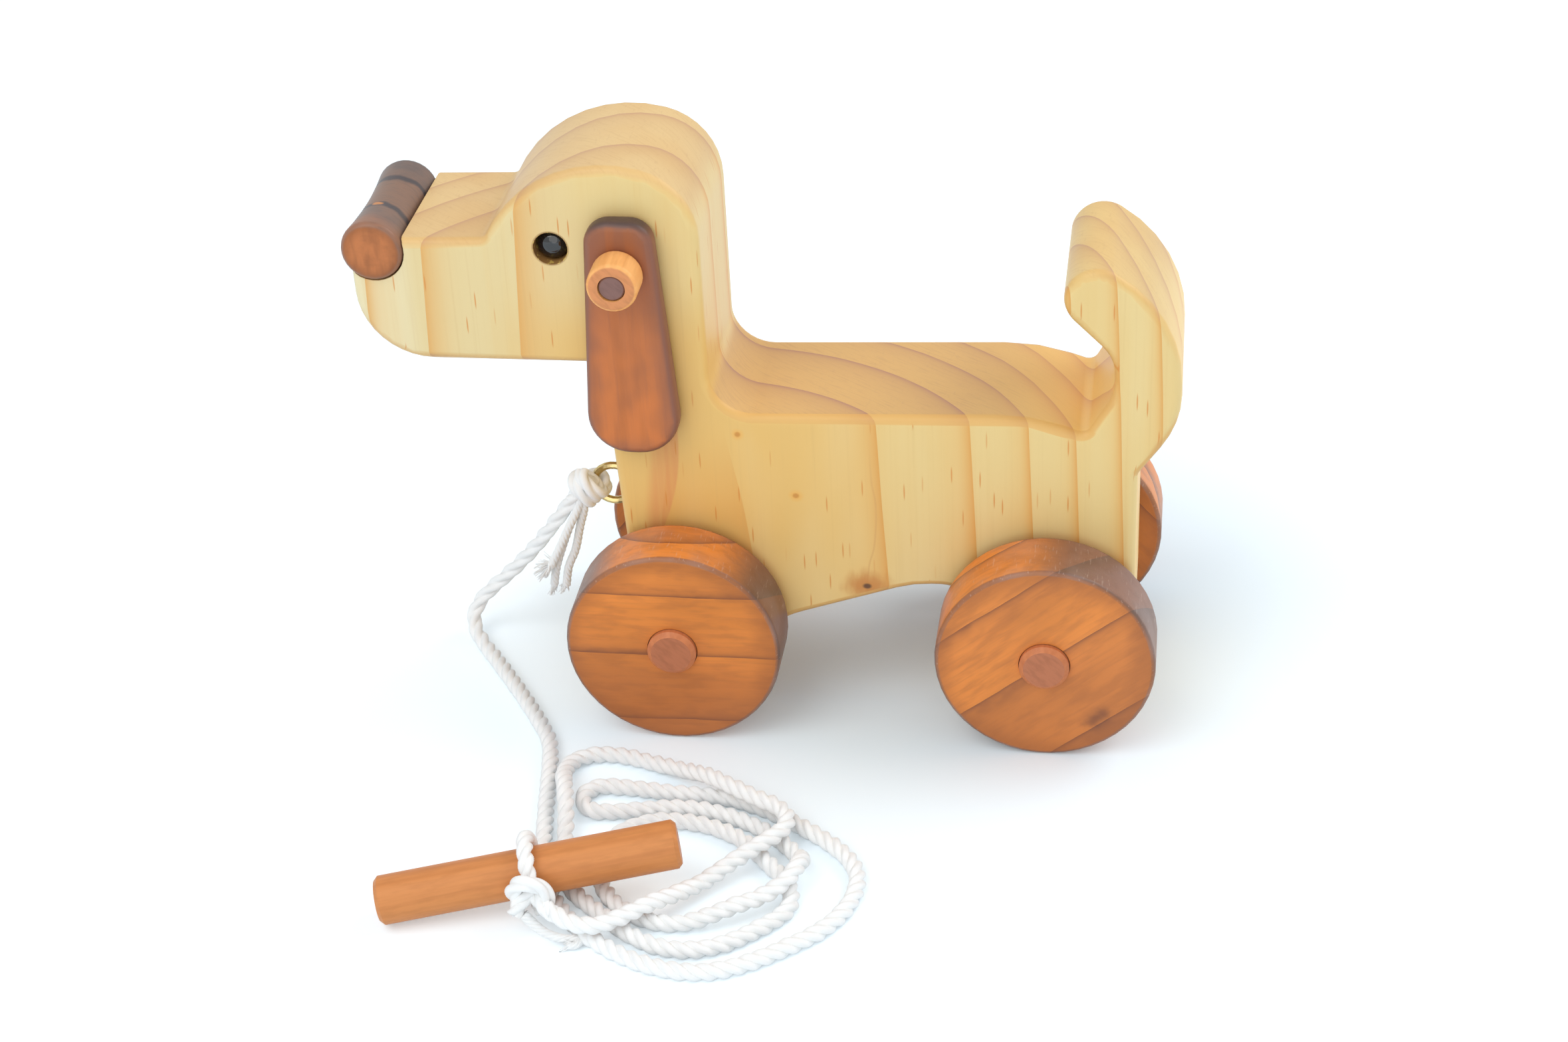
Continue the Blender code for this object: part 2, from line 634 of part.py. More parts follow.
def make_ears(materials, root):
    """The ears swing on one dowel through the head, and a bored cap glued on each end keeps them on."""
    pin_z = axle_height() + EAR_PIN_HEIGHT
    cap_inner = ear_outer_face() + REST_GAP
    pin_length = 2 * (cap_inner + EAR_CAP_LENGTH - EAR_PIN_INSET)
    pin = turned(rod_profile(pin_length, EAR_PIN_DIAMETER / 2, EAR_PIN_CHAMFER))
    add_object("ear_pin", pin, materials["pin"], (-EAR_PIN_SETBACK, 0, pin_z), root)
    hole_radius = EAR_PIN_DIAMETER / 2 + RUNNING_GAP
    cap_bore = EAR_PIN_DIAMETER / 2 + GLUE_GAP
    cap = bored_profile(EAR_CAP_LENGTH, EAR_CAP_DIAMETER / 2, EAR_CAP_ROUND, cap_bore, EDGE_STEPS)
    for side, hand in ((-1, "left"), (1, "right")):
        ear_middle = side * (ear_outer_face() - EAR_THICKNESS / 2)
        place = (-EAR_PIN_SETBACK, 0, pin_z)
        mesh = plank(ear_outline(), EAR_THICKNESS, EAR_EDGE_ROUND)
        mesh.transform(Matrix.Translation((0, ear_middle, 0)))
        ear = add_object(f"ear_{hand}", mesh, materials["stained"], place, root)
        hole = turned([(-EAR_THICKNESS, hole_radius), (EAR_THICKNESS, hole_radius)])
        hole.transform(Matrix.Translation((0, ear_middle, 0)))
        combine(ear, "DIFFERENCE", [add_cutter(hole, place, root)])
        cap_middle = side * (cap_inner + EAR_CAP_LENGTH / 2)
        cap_mesh = turned([(y + cap_middle, r) for y, r in cap], ring=True)
        add_object(f"ear_cap_{hand}", cap_mesh, materials["cap"], place, root)


def screw_place():
    """The screw eye's frame: its origin on the chest, its own +Y running into the wood."""
    place = Matrix.Translation((chest_x(SCREW_EYE_HEIGHT), 0, axle_height() + SCREW_EYE_HEIGHT))
    return place @ Matrix.Rotation(-math.pi / 2, 4, "Z")


def ring_centre():
    x = chest_x(SCREW_EYE_HEIGHT) - SCREW_EYE_STANDOFF - SCREW_EYE_RADIUS
    return Vector((x, 0, axle_height() + SCREW_EYE_HEIGHT))


def make_screw_eye(materials, root):
    """A brass ring in the upright plane of the cord, on a shank screwed into the chest."""
    wire = SCREW_EYE_WIRE / 2
    ring = add_object("screw_eye", torus(SCREW_EYE_RADIUS, wire), materials["brass"], ring_centre(), root)
    shank = turned([(-SCREW_EYE_STANDOFF, wire), (SCREW_SHANK_LENGTH, wire)], segments=SHANK_SEGMENTS)
    combine(ring, "UNION", [add_cutter(shank, screw_place(), root)])


def toward(point, direction):
    """A frame at a point whose own +Y lies along a direction."""
    return Matrix.Translation(point) @ Vector(direction).to_track_quat("Y", "Z").to_matrix().to_4x4()


def smooth(points, step):
    """Points at even steps along a smooth curve through the given ones."""
    ends = [2 * points[0] - points[1], *points, 2 * points[-1] - points[-2]]
    fine = []
    for i in range(1, len(ends) - 2):
        p0, p1, p2, p3 = ends[i - 1 : i + 3]
        for part in range(ROUTE_PARTS):
            t = part / ROUTE_PARTS
            a = 2 * p1 + (p2 - p0) * t
            b = (2 * p0 - 5 * p1 + 4 * p2 - p3) * t**2
            c = (3 * p1 - p0 - 3 * p2 + p3) * t**3
            fine.append((a + b + c) / 2)
    fine.append(points[-1])
    return evenly(fine, step)


def evenly(points, step):
    """The same line with a point at every step, ends kept."""
    lengths = [0.0]
    for a, b in zip(points, points[1:]):
        lengths.append(lengths[-1] + (b - a).length)
    count = max(2, round(lengths[-1] / step))
    result = []
    k = 0
    for i in range(count + 1):
        target = lengths[-1] * i / count
        while k < len(points) - 2 and lengths[k + 1] < target:
            k += 1
        share = (target - lengths[k]) / (lengths[k + 1] - lengths[k])
        result.append(points[k].lerp(points[k + 1], min(share, 1)))
    return result


def cord_floor():
    return CORD_DIAMETER / 2 + CORD_FLOOR_GAP


def coil_line(most_turn, most_step):
    """The coil's middle line: each stretch turns evenly from one row's heading to the next one's."""
    layer = CORD_DIAMETER + CORD_PILE_GAP
    line = []
    for (x0, y0, layers0, heading0), (x1, y1, layers1, heading1) in zip(COIL_TURNS, COIL_TURNS[1:]):
        start = Vector((x0, y0, cord_floor() + layers0 * layer))
        end = Vector((x1, y1, cord_floor() + layers1 * layer))
        turn = abs((heading1 - heading0 + 180) % 360 - 180)
        chord = (end - start).length
        reach = chord / (3 * math.cos(math.radians(turn / 4)) ** 2)
        first = start + reach * heading_direction(heading0)
        second = end - reach * heading_direction(heading1)
        parts = max(1, math.ceil(turn / most_turn), math.ceil(chord / most_step))
        for part in range(parts):
            t = part / parts
            near, far = start.lerp(first, t), second.lerp(end, t)
            middle = first.lerp(second, t)
            line.append(near.lerp(middle, t).lerp(middle.lerp(far, t), t))
    return line + [end]


def heading_direction(heading):
    return Vector((math.cos(math.radians(heading)), math.sin(math.radians(heading)), 0))


def trimmed(points, start, end):
    """The line without its first and last stretch."""
    total = sum((b - a).length for a, b in zip(points, points[1:]))
    kept, run = [], 0.0
    for a, b in zip(points, points[1:]):
        length = (b - a).length
        for share in ((start - run) / length, (total - end - run) / length):
            if 0 < share < 1:
                kept.append(a.lerp(b, share))
        if start <= run + length <= total - end:
            kept.append(b.copy())
        run += length
    return kept


def least_gap(points, diameter):
    """The least distance between two stretches of one tube, surface to surface."""
    step = (points[1] - points[0]).length
    apart = round(DIAMETERS_APART * diameter / step)
    gap = min(
        (points[i] - points[j]).length
        for i in range(len(points))
        for j in range(i + apart, len(points))
    )
    return gap - diameter


def tube_curve(name, points, radius, resolution):
    curve = bpy.data.curves.new(name, "CURVE")
    curve.dimensions = "3D"
    curve.bevel_depth = radius
    curve.bevel_resolution = resolution
    curve.use_fill_caps = True
    spline = curve.splines.new("POLY")
    spline.points.add(len(points) - 1)
    for spot, point in zip(spline.points, points):
        spot.co = (*point, 1)
    return curve


def tube(name, points, radius, resolution, material, root):
    return add_object(name, tube_curve(name, points, radius, resolution), material, (0, 0, 0), root)


def tube_mesh(points, radius):
    """The same tube as a mesh, for joining to a knot."""
    obj = bpy.data.objects.new("strand", tube_curve("strand", points, radius, PLAIN_BEVEL_STEPS))
    mesh = bpy.data.meshes.new_from_object(obj)
    bpy.data.objects.remove(obj)
    return mesh


def line_length(line):
    return sum((b - a).length for a, b in zip(line, line[1:]))


def make_cord(materials, root):
    """One cord in three nodes: the lead, the coil's loops, and the end that crosses them to the handle."""
    radius = CORD_DIAMETER / 2
    cotton = materials["cotton"]
    gap = CORD_JOIN_GAP / 2
    length = 0.0
    for name, route in (("cord_lead", LEAD_ROUTE), ("cord_end", END_ROUTE)):
        line = smooth([Vector(point) for point in route], FINE_STEP)
        length += line_length(line)
        tube(name, evenly(trimmed(line, gap, gap), PLAIN_STEP), radius, PLAIN_BEVEL_STEPS, cotton, root)
    coil = trimmed(coil_line(360 / POINTS_PER_LOOP, COIL_STEP), gap, gap)
    tube("cord_coil", coil, radius, COIL_BEVEL_STEPS, cotton, root)
    length += line_length(coil)
    coil_gap = least_gap(evenly(coil, FINE_STEP), CORD_DIAMETER)
    print(f"least gap of the coil to itself: {1000 * coil_gap:.2f} mm")
    print(f"cord from knot to knot: {1000 * length:.0f} mm")


def knot_pieces(radius, centre, pull, leans, root):
    """A knot's ball and the two turns of cord round it, about the direction that the cord pulls in."""
    shapes = [add_cutter(ball(radius), toward(centre, pull), root)]
    for side, lean in zip((-1, 1), leans):
        wrap = torus(radius - KNOT_TURN_SINK, KNOT_CORD_RADIUS)
        place = toward(centre + side * KNOT_TURN_SPREAD * pull, pull + Vector(lean))
        shapes.append(add_cutter(wrap, place, root))
    return shapes


def make_ring_knot(materials, root):
    """The cord's loop through the ring, its knot, and the three unlaid strands that hang from it."""
    start = Vector(LEAD_ROUTE[0])
    pull = (start - Vector(LEAD_ROUTE[1])).normalized()
    wire = ring_centre() + Vector((-SCREW_EYE_RADIUS, 0, 0))
    knot = wire + Vector(RING_KNOT_PLACE)
    loop_radius = SCREW_EYE_WIRE / 2 + REST_GAP + RING_LOOP_CORD_RADIUS
    loop = torus(loop_radius, RING_LOOP_CORD_RADIUS)
    obj = add_object("ring_knot", loop, materials["cotton"], toward(wire, RING_LOOP_AXIS), root)
    pieces = knot_pieces(RING_KNOT_RADIUS, knot, pull, RING_KNOT_LEANS, root)
    tail_root = knot + Vector(RING_TAIL_ROOT)
    for reach in RING_TAILS:
        strand = tube_mesh([tail_root, tail_root + Vector(reach)], TAIL_STRAND_DIAMETER / 2)
        pieces.append(add_cutter(strand, (0, 0, 0), root))
    combine(obj, "UNION", pieces)


def handle_place():
    """The handle's frame: its own +Y along the dowel, its right end raised on the coil."""
    turn = Matrix.Rotation(math.radians(HANDLE_TURN - 90), 4, "Z")
    tilt = Matrix.Rotation(math.radians(HANDLE_TILT), 4, "X")
    return Matrix.Translation(HANDLE_CENTRE) @ turn @ tilt


def make_handle(materials, root):
    """A short dowel, with the cord wrapped round its middle, knotted, and its tail left hanging."""
    place = handle_place()
    rod = turned(rod_profile(HANDLE_LENGTH, HANDLE_DIAMETER / 2, HANDLE_CHAMFER))
    add_object("handle", rod, materials["handle"], place, root)
    wrap_radius = HANDLE_DIAMETER / 2 + REST_GAP + HANDLE_WRAP_CORD_RADIUS
    wrap = torus(wrap_radius, HANDLE_WRAP_CORD_RADIUS)
    wrap_place = place @ Matrix.Translation((0, HANDLE_WRAP_SHIFT, 0))
    obj = add_object("handle_knot", wrap, materials["cotton"], wrap_place, root)
    knot_reach = HANDLE_DIAMETER / 2 + HANDLE_KNOT_STANDOFF
    knot = place @ Vector((knot_reach, HANDLE_KNOT_SHIFT, HANDLE_KNOT_RISE))
    pull = (knot - Vector(END_ROUTE[-1])).normalized()
    pieces = knot_pieces(HANDLE_KNOT_RADIUS, knot, pull, HANDLE_KNOT_LEANS, root)
    tail = tube_mesh([Vector(point) for point in HANDLE_TAIL], HANDLE_WRAP_CORD_RADIUS)
    pieces.append(add_cutter(tail, (0, 0, 0), root))
    combine(obj, "UNION", pieces)
    clear_radius = HANDLE_DIAMETER / 2 + REST_GAP
    clear_rod = turned([(-HANDLE_LENGTH, clear_radius), (HANDLE_LENGTH, clear_radius)])
    combine(obj, "DIFFERENCE", [add_cutter(clear_rod, place, root)])


def main():
    for obj in list(bpy.data.objects):
        bpy.data.objects.remove(obj)
    materials = make_materials()
    root = bpy.data.objects.new("dog", None)
    bpy.context.scene.collection.objects.link(root)
    make_body(materials, root)
    make_nose(materials, root)
    make_eyes(materials, root)
    make_wheelsets(materials, root)
    make_ears(materials, root)
    make_screw_eye(materials, root)
    make_ring_knot(materials, root)
    make_cord(materials, root)
    make_handle(materials, root)
    root.location.x = front_axle_x()


main()
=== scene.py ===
"""The looks of a wooden dog pull toy: oiled pine, stained wheels and ears, brass, and laid cotton cord."""

import json
import math
import random

import bpy
from mathutils import Matrix, Vector


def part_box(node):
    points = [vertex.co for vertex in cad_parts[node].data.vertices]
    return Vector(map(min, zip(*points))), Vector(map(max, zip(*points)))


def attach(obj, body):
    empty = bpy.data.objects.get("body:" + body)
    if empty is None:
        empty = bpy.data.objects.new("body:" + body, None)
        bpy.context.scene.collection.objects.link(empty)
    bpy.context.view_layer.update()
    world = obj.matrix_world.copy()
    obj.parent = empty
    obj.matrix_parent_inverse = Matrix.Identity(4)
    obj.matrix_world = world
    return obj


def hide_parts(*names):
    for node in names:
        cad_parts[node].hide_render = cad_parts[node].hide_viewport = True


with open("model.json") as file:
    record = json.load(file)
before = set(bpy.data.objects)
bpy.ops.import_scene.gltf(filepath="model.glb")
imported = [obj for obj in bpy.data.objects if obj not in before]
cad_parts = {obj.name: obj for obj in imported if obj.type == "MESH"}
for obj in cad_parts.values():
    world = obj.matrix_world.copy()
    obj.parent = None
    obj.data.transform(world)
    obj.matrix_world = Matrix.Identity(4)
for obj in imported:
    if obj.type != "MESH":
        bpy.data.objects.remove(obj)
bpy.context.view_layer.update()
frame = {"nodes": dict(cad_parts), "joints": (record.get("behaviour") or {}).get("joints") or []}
NODES = frame["nodes"]
JOINTS = {joint["name"]: Vector(joint["pos_m"]) for joint in frame["joints"]}
FRONT_AXLE = JOINTS["front_axle_spin"]
REAR_AXLE = JOINTS["rear_axle_spin"]
EAR_PIVOT = JOINTS["left_ear_swing"]
UNDER_AXLE = Vector((FRONT_AXLE.x, 0, 0))


def darker(colour, share):
    return tuple(share * part for part in colour)


# The camera as fitted to the photo: its place from under the front axle, and its angles in degrees
IMAGE_WIDTH = 2359
FOCAL_PIXELS = 4118.7
SENSOR_WIDTH = 36.0
CLIP_START = 0.01
CAMERA_PLACE = (0.1274, -0.6137, 0.4252)
CAMERA_PITCH = 31.557
CAMERA_YAW = 9.55
CAMERA_ROLL = -3.076

# In the looks below, two numbers alone are where a mask starts and where it is full. A zone is such edges
# along some axes. A tint is a share and the colour it brings, with a mask's edges before them where it has
# its own. A wave is a noise's scale and height. A patch is a noise's scale, its mask's edges, its detail
# and a tint, the last two where it has its own.
FIBRE_DETAIL = 3
FIBRE_ROUGHNESS = 0.6
STAINED_FIBRE = (1100, 1100, 45)
PINE_BUMP = 0.00006
STAINED_BUMP = 0.00005

# The pine board's growth rings: the pith from under the front axle, the radius at which each ring ends, how
# much wider the rings get towards the floor, and the waves in them
PITH = (0.0071, -0.0637)
RING_EDGES = (0.024, 0.0437, 0.0629, 0.0817, 0.0946, 0.1051, 0.1153, 0.1248, 0.134, 0.143, 0.151)
RING_REACH = 0.16
RING_HEIGHT = 0.065
RING_TAPER = 0.035
RING_WAVES = (((9, 9, 7), 0.0024), ((70, 70, 14), 0.0006))

# Where the rings show on the pine's faces, and how sharp they are there
CLEAR_RADII = (0.046, 0.055)
CLEAR_HEIGHTS = (0.086, 0.056)
CLEAR_BELOW = 0.6
HEAD_CLEAR = 0.8
HEAD_LINE_POWER = 8
TRUNK_LINE_POWER = 12
FACE_GLOW_POWER = 4

# The pine's faces: the head, the trunk behind it, the front of the snout, and the warmer wood by the pith
TRUNK_FRONT = (-0.03, -0.014)
INNER_RADII = (0.074, 0.048)
INNER_HEIGHTS = (0.128, 0.104)
FACE_HEAD = (0.8, 0.632, 0.322)
FACE_TRUNK = (0.825, 0.61, 0.262)
FACE_INNER = (0.825, 0.52, 0.165)
FACE_SNOUT = (-0.061, -0.068, 0.75, (0.86, 0.75, 0.48))
FACE_PATCHES = (
    ((190, 190, 4), 0.4, 0.75, 2, 0.3, (0.8, 0.52, 0.18)),
    ((40, 40, 14), 0.45, 0.8, 2, 0.35, (0.87, 0.71, 0.38)),
)
FACE_GLOW = (0.5, (0.82, 0.46, 0.12))
FACE_LINE = (0.9, (0.75, 0.355, 0.08))
PINE_FIBRE = (900, 900, 14)
FACE_FIBRE = (0.5, 0.8, 0.14, (0.62, 0.38, 0.14))
FINE_BUMP = 0.5

# The pine's end grain: the back, and the paler head and tail, where rings and sanding marks are fainter
END_SLOPE = (0.22, 0.55)
HEAD_ZONE = {"z": (0.092, 0.108), "x": (0.03, 0.01)}
TAIL_ZONE = {"z": (0.1, 0.112), "x": (0.092, 0.1)}
TOP_BACK = (0.72, 0.43, 0.15)
TOP_HEAD = (0.79, 0.54, 0.24)
TOP_TAIL = (0.82, 0.575, 0.225)
TOP_PATCH = ((40, 40, 16), 0.35, 0.75, 2, 0.5, (0.72, 0.415, 0.145))
TOP_GLOW_POWER = 3
TOP_GLOW_SHARE = 0.72
PALE_GLOW_LOSS = 0.25
TOP_GLOW = (0.57, 0.305, 0.13)
TOP_LINE_POWER = 22
TOP_LINE_SHARE = 0.88
TOP_LINE = (0.42, 0.19, 0.145)
PALE_LINE = (0.58, 0.3, 0.175)
SANDING = (0.788, -0.616, 0)
ACROSS_SANDING = (0.616, 0.788, 0)
SANDING_MARKS = ((160, 2000, 160), 0.48, 0.72)
PALE_MARKS_LOSS = 0.55
MARKS_TINT = (0.42, (0.58, 0.32, 0.13))
GRIT = (1400, 420, 600)
GRIT_TINT = (0.55, 0.8, 0.22, (0.56, 0.31, 0.14))

# The nook before the tail, painted paler and more orange as painted bounce light, and the board's rounded
# edges, which are tinted less higher up
NOOK_LIGHT_ZONE = {"x": (0.072, 0.1), "z": (0.122, 0.104)}
NOOK_LIGHT_SLOPE = (0.5, 0.2)
NOOK_LIGHT_SHARE = 0.65
NOOK_LIGHT = (0.98, 0.625, 0.19)
NOOK_LIGHT_GLOW = (0.75, (0.8, 0.385, 0.14))
EDGE_SLOPE = (0.1, 0.25)
EDGE_HEIGHTS = (0.09, 0.1)
EDGE_SHARE = 0.9
EDGE_LOSS = 0.6
EDGE = (0.78, 0.455, 0.14)
EDGE_GLOW = (0.6, (0.66, 0.31, 0.09))

# Branches cut through at the board's near face: place, core radius and tint, halo radius and tint
PIN_KNOT = (0.001, (0.9, (0.64, 0.28, 0.06)), 0.0021, (0.8, (0.86, 0.45, 0.1)))
BELLY_KNOT = (0.0011, (0.9, (0.1, 0.045, 0.025)), 0.006, (0.9, (0.6, 0.235, 0.055)))
KNOTS = (
    ((0.0169, -0.021, 0.0814), *PIN_KNOT),
    ((0.0311, -0.021, 0.0638), *PIN_KNOT),
    ((0.0487, -0.021, 0.037), *BELLY_KNOT),
)
HALO_SCALE = (500, 500, 200)
HALO_WAVE = 0.5
HALO_FULL = 0.2
CORE_FULL = 0.4

# The streak of resin on the chest: its back edge is a curve and its front edge leans
STREAK_TOP = 0.079
STREAK_BACK = 0.0015
STREAK_CURVE = 8.1
STREAK_FRONT = -0.0057
STREAK_LEAN = 0.122
STREAK_BACK_EDGE = (0.0003, -0.0003)
STREAK_FRONT_EDGE = (-0.0012, 0.0026)
STREAK_ZONE = {"z": (0.125, 0.085), "y": (0.004, -0.01)}
STREAK_FIBRE = ((700, 700, 9), 0.3, 0.7)
STREAK_LEAST = 0.65
STREAK_TINT = (0.85, (0.75, 0.33, 0.11))

# Resin ducts: how far they shift with depth, how many there are in a metre across and along the grain, and
# how large and how dark each dash is
DUCT_SLANT = 1.3
DUCTS_ACROSS = 310
DUCTS_ALONG = 25
DUCT_EDGE = (0.075, 0.035)
DUCT_DEPTH = (0, 0.6)
DUCT_TINT = (0.8, (0.7, 0.27, 0.055))

# The thin line that bends into the belly knot: its shape in a box on the flank, from under the front axle
KNOT_LINE_LEFT = 0.048
KNOT_LINE_WIDTH = 0.004
KNOT_LINE_FOOT = 0.037
KNOT_LINE_HEIGHT = 0.049
KNOT_LINE = ((0, 0.175), (0.116, 0.325), (0.288, 0.775), (0.496, 0.9), (0.649, 0.675), (1, 0.58))
KNOT_LINE_EDGE = (0.00038, 0.0001)
KNOT_LINE_ZONE = {"z": (0.084, 0.062), "y": (-0.008, -0.018)}
KNOT_LINE_TINT = (0.45, (0.68, 0.36, 0.12))

# The eyes' holes: radii from the hole's middle
BURNT_RIM = (0.0049, 0.0043, 0.85, (0.3, 0.14, 0.035))
FLECKS = ((900, 500, 900), 0.56, 0.62)
FLECK_EDGE = (0.0046, 0.0044)
FLECK_TINT = (0.8, (0.78, 0.55, 0.13))

# The rings of each wheel: the grain's angle on the face, how far the rings lean into the wheel, how much
# darker its inner rings are, and the rings' heights above the axle at the outer face
WHEEL_RINGS = {
    "wheel_front_left": (0, 28, 0.55, (-0.0192, -0.0015, 0.0145, 0.0282)),
    "wheel_front_right": (52, 25, 0.4, (-0.023, -0.0075, 0.008, 0.024)),
    "wheel_rear_left": (38, 35, 0.45, (-0.0183, 0.0005, 0.017, 0.0298)),
    "wheel_rear_right": (-48, 30, 0.4, (-0.02, -0.003, 0.014, 0.0285)),
}

# The wheel whose rings fade upwards, how far rings are counted, and all wheels' colours and marks
RINGS_FADE_UP = ("wheel_front_left",)
WHEEL_REACH = 0.0896
WHEEL_WAVES = ((30, 0.0016), (160, 0.0003))
WHEEL_EARLY = (0.88, 0.285, 0.054)
WHEEL_LATE = (0.43, 0.14, 0.045)
WHEEL_DARK = (0.17, 0.06, 0.032)
WHEEL_END = (0.28, 0.125, 0.072)
WHEEL_END_LATE = (0.12, 0.078, 0.062)
WHEEL_PATCH = ((110, 110, 26), 0.35, 0.7, 3, 1, darker(WHEEL_EARLY, 0.84))
TREAD_SLOPE = (0.5, 0.1)
TREAD_TINT = (0.85, (0.97, 0.31, 0.052))
WHEEL_SMEAR = ((55, 55, 22), 0.42, 0.68, 2, 0.3, darker(WHEEL_EARLY, 0.62))
WHEEL_GLOW_POWER = 2.5
WHEEL_GLOW = (0.38, WHEEL_LATE)
WHEEL_CORE = (0.004, -0.01)
WHEEL_LINE_POWER = 26
WHEEL_LINE = (0.85, WHEEL_DARK)
SMUDGE_POWER = 7
SMUDGES = ((120, 120, 75), 0.5, 0.68, 3)
SMUDGE_TINT = (0.6, WHEEL_DARK)
WHEEL_FIBRE = (0.45, 0.8, 0.3, WHEEL_LATE)
WHEEL_MOTTLE = ((420, 420, 110), 0.42, 0.66, 3, 0.3, darker(WHEEL_LATE, 0.85))
RIM_WAVE = (70, 0.008)
RIM_RADII = (0.0205, 0.0285)
RIM_TINT = (0.55, darker(WHEEL_LATE, 0.75))
WHEEL_END_GLOW = (0.7, WHEEL_END_LATE)
WHEEL_END_PATCH = ((400, 400, 60), 0.4, 0.7, 3, 0.35, darker(WHEEL_END, 0.7))
WHEEL_END_SLOPE = (0.38, 0.8)
WHEEL_LINE_BUMP = -0.6

# The dark spot on the near rear wheel, longer along the grain
SPOT_WHEEL = "wheel_rear_left"
SPOT_PLACE = (0.0135, 0, -0.0155)
SPOT_STRETCH = 0.4
SPOT_WAVE = (300, 0.0016)
SPOT = (0.0024, 0.0002, 0.75, WHEEL_DARK)

# The wheels' worn corners and treads: a greyish bloom that is partly dust and partly painted sheen, and
# scuffs
CORNER_IN = (0.1, 0.4)
CORNER_OUT = (0.998, 0.93)
CORNER_TINT = (0.38, WHEEL_END_LATE)
DUST_AND_SHEEN = (80, 0.38, 0.7, 3)
DUST_AND_SHEEN_TINT = (0.2, (0.46, 0.36, 0.34))
SCUFFS = ((1600, 260, 1600), 0.6, 0.72, 3)
SCUFF_TINT = (0.22, (0.74, 0.56, 0.46))

# Each dowel's side, the streaks in it and its cut ends, and then the marks that all of them have
AXLE_COLOURS = ((0.64, 0.22, 0.085), (0.56, 0.18, 0.07), (0.49, 0.17, 0.08))
CAP_COLOURS = ((0.98, 0.48, 0.16), (0.9, 0.4, 0.12), (0.72, 0.285, 0.11))
PIN_COLOURS = ((0.26, 0.135, 0.105), (0.2, 0.1, 0.08), (0.24, 0.125, 0.105))
HANDLE_COLOURS = ((0.68, 0.262, 0.08), (0.6, 0.22, 0.066), (0.6, 0.225, 0.085))
DOWEL_FIBRE = (1500, 1500, 45)
DOWEL_STREAKS = ((420, 420, 12), 0.4, 0.72, 2, 1)
DOWEL_MOTTLE = ((600, 600, 160), 0.42, 0.68, 3, 0.35)
DOWEL_CUT = ((900, 260, 900), 0.4, 0.7, 2, 1)
DOWEL_FIBRES = (0.5, 0.8, 0.25)
MOTTLE_SHADE = 0.85
FIBRE_SHADE = 0.75
CUT_SHADE = 0.86
CUT_SLOPE = (0.8, 0.97)

# The ears: half their width at the pivot, how much wider they get below it, and their colours, with painted
# shade darkening the upper face round the cap
EAR_HALF = 0.01
EAR_TAPER = 0.05
EAR_SHADE_FADE = (-0.03, 0.008)
EAR_FACE = (0.63, 0.186, 0.047)
EAR_FACE_SHADE = (0.32, 0.115, 0.055)
EAR_EDGE = (0.26, 0.105, 0.065)
EAR_TOP = (0.08, 0.05, 0.045)
EAR_PATCHES = (
    ((260, 260, 30), 0.4, 0.7, 3, 0.6, darker(EAR_FACE, 0.72)),
    ((90, 90, 50), 0.45, 0.75, 2, 0.5, darker(EAR_FACE_SHADE, 0.85)),
)
EAR_FIBRE = (0.5, 0.8, 0.25, EAR_EDGE)
EAR_RIM_WAVE = ((110, 110, 90), 0.006)
EAR_RIM = (-0.007, 0.0005, 0.7, EAR_EDGE)
EAR_TOP_SLOPE = (0.2, 0.9)
EAR_FOOT = (-0.3, -0.9, 0.6, EAR_TOP)
EAR_TURN = (0.995, 0.8, 0.95)

# The nose: its bands and rings as shares of its length from its middle, an orange speck beside one ring,
# and its cut ends
NOSE_WAVE = ((75, 40, 75), 0.24)
NOSE_FIBRE = (260, 1300, 260)
NOSE_BROWN = (0.24, 0.135, 0.09)
NOSE_DARK = (0.15, 0.108, 0.095)
NOSE_FAR = (0.18, 0.3)
NOSE_BANDS = (
    (-0.14, -0.22, 0.6, NOSE_DARK),
    (-0.28, -0.46, 0.75, (0.38, 0.16, 0.085)),
)
NOSE_MOTTLE = (130, 0.42, 0.68, 3, 0.45, (0.27, 0.15, 0.1))
NOSE_FIBRES = (0.45, 0.75, 0.35, darker(NOSE_DARK, 0.8))
NOSE_RINGS = (-0.17, 0.23)
NOSE_RING = (0.045, 0.012, 0.85, (0.045, 0.042, 0.052))
SPECK_PLACE = (-0.001, -0.006, 0.0075)
SPECK_STRETCH = (0.6, 1, 0.6)
SPECK_WAVE = (500, 0.0012)
SPECK = (0.0012, 0.0006, 0.9, (0.62, 0.24, 0.07))
NOSE_END = (0.55, 0.182, 0.056)
NOSE_END_PATCHES = (
    ((420, 400, 90), 0.4, 0.7, 2, 1, darker(NOSE_END, 0.74)),
    (240, 0.45, 0.68, 3, 0.5, darker(NOSE_END, 0.6)),
)
NOSE_END_RIM = (0.004, 0.0078, 0.7, darker(NOSE_END, 0.45))
NOSE_END_SLOPE = (0.75, 0.96)

# Cotton: yarns along the strands, painted shade in the groove between strands, and fluff
YARN = (90, 2.2, 1)
YARN_EDGES = (0.3, 0.7)
YARN_GREY = (0.965, 0.962, 0.945)
YARN_WHITE = (0.985, 0.983, 0.978)
GROOVE_SHADE = (0.4, 0.5, 0.45, (0.9, 0.88, 0.84))
COTTON_PATCH = (60, 0.5, 0.8, 2, 0.25, (0.94, 0.925, 0.88))
FLUFF = 1500
COTTON_BUMP = 0.00014

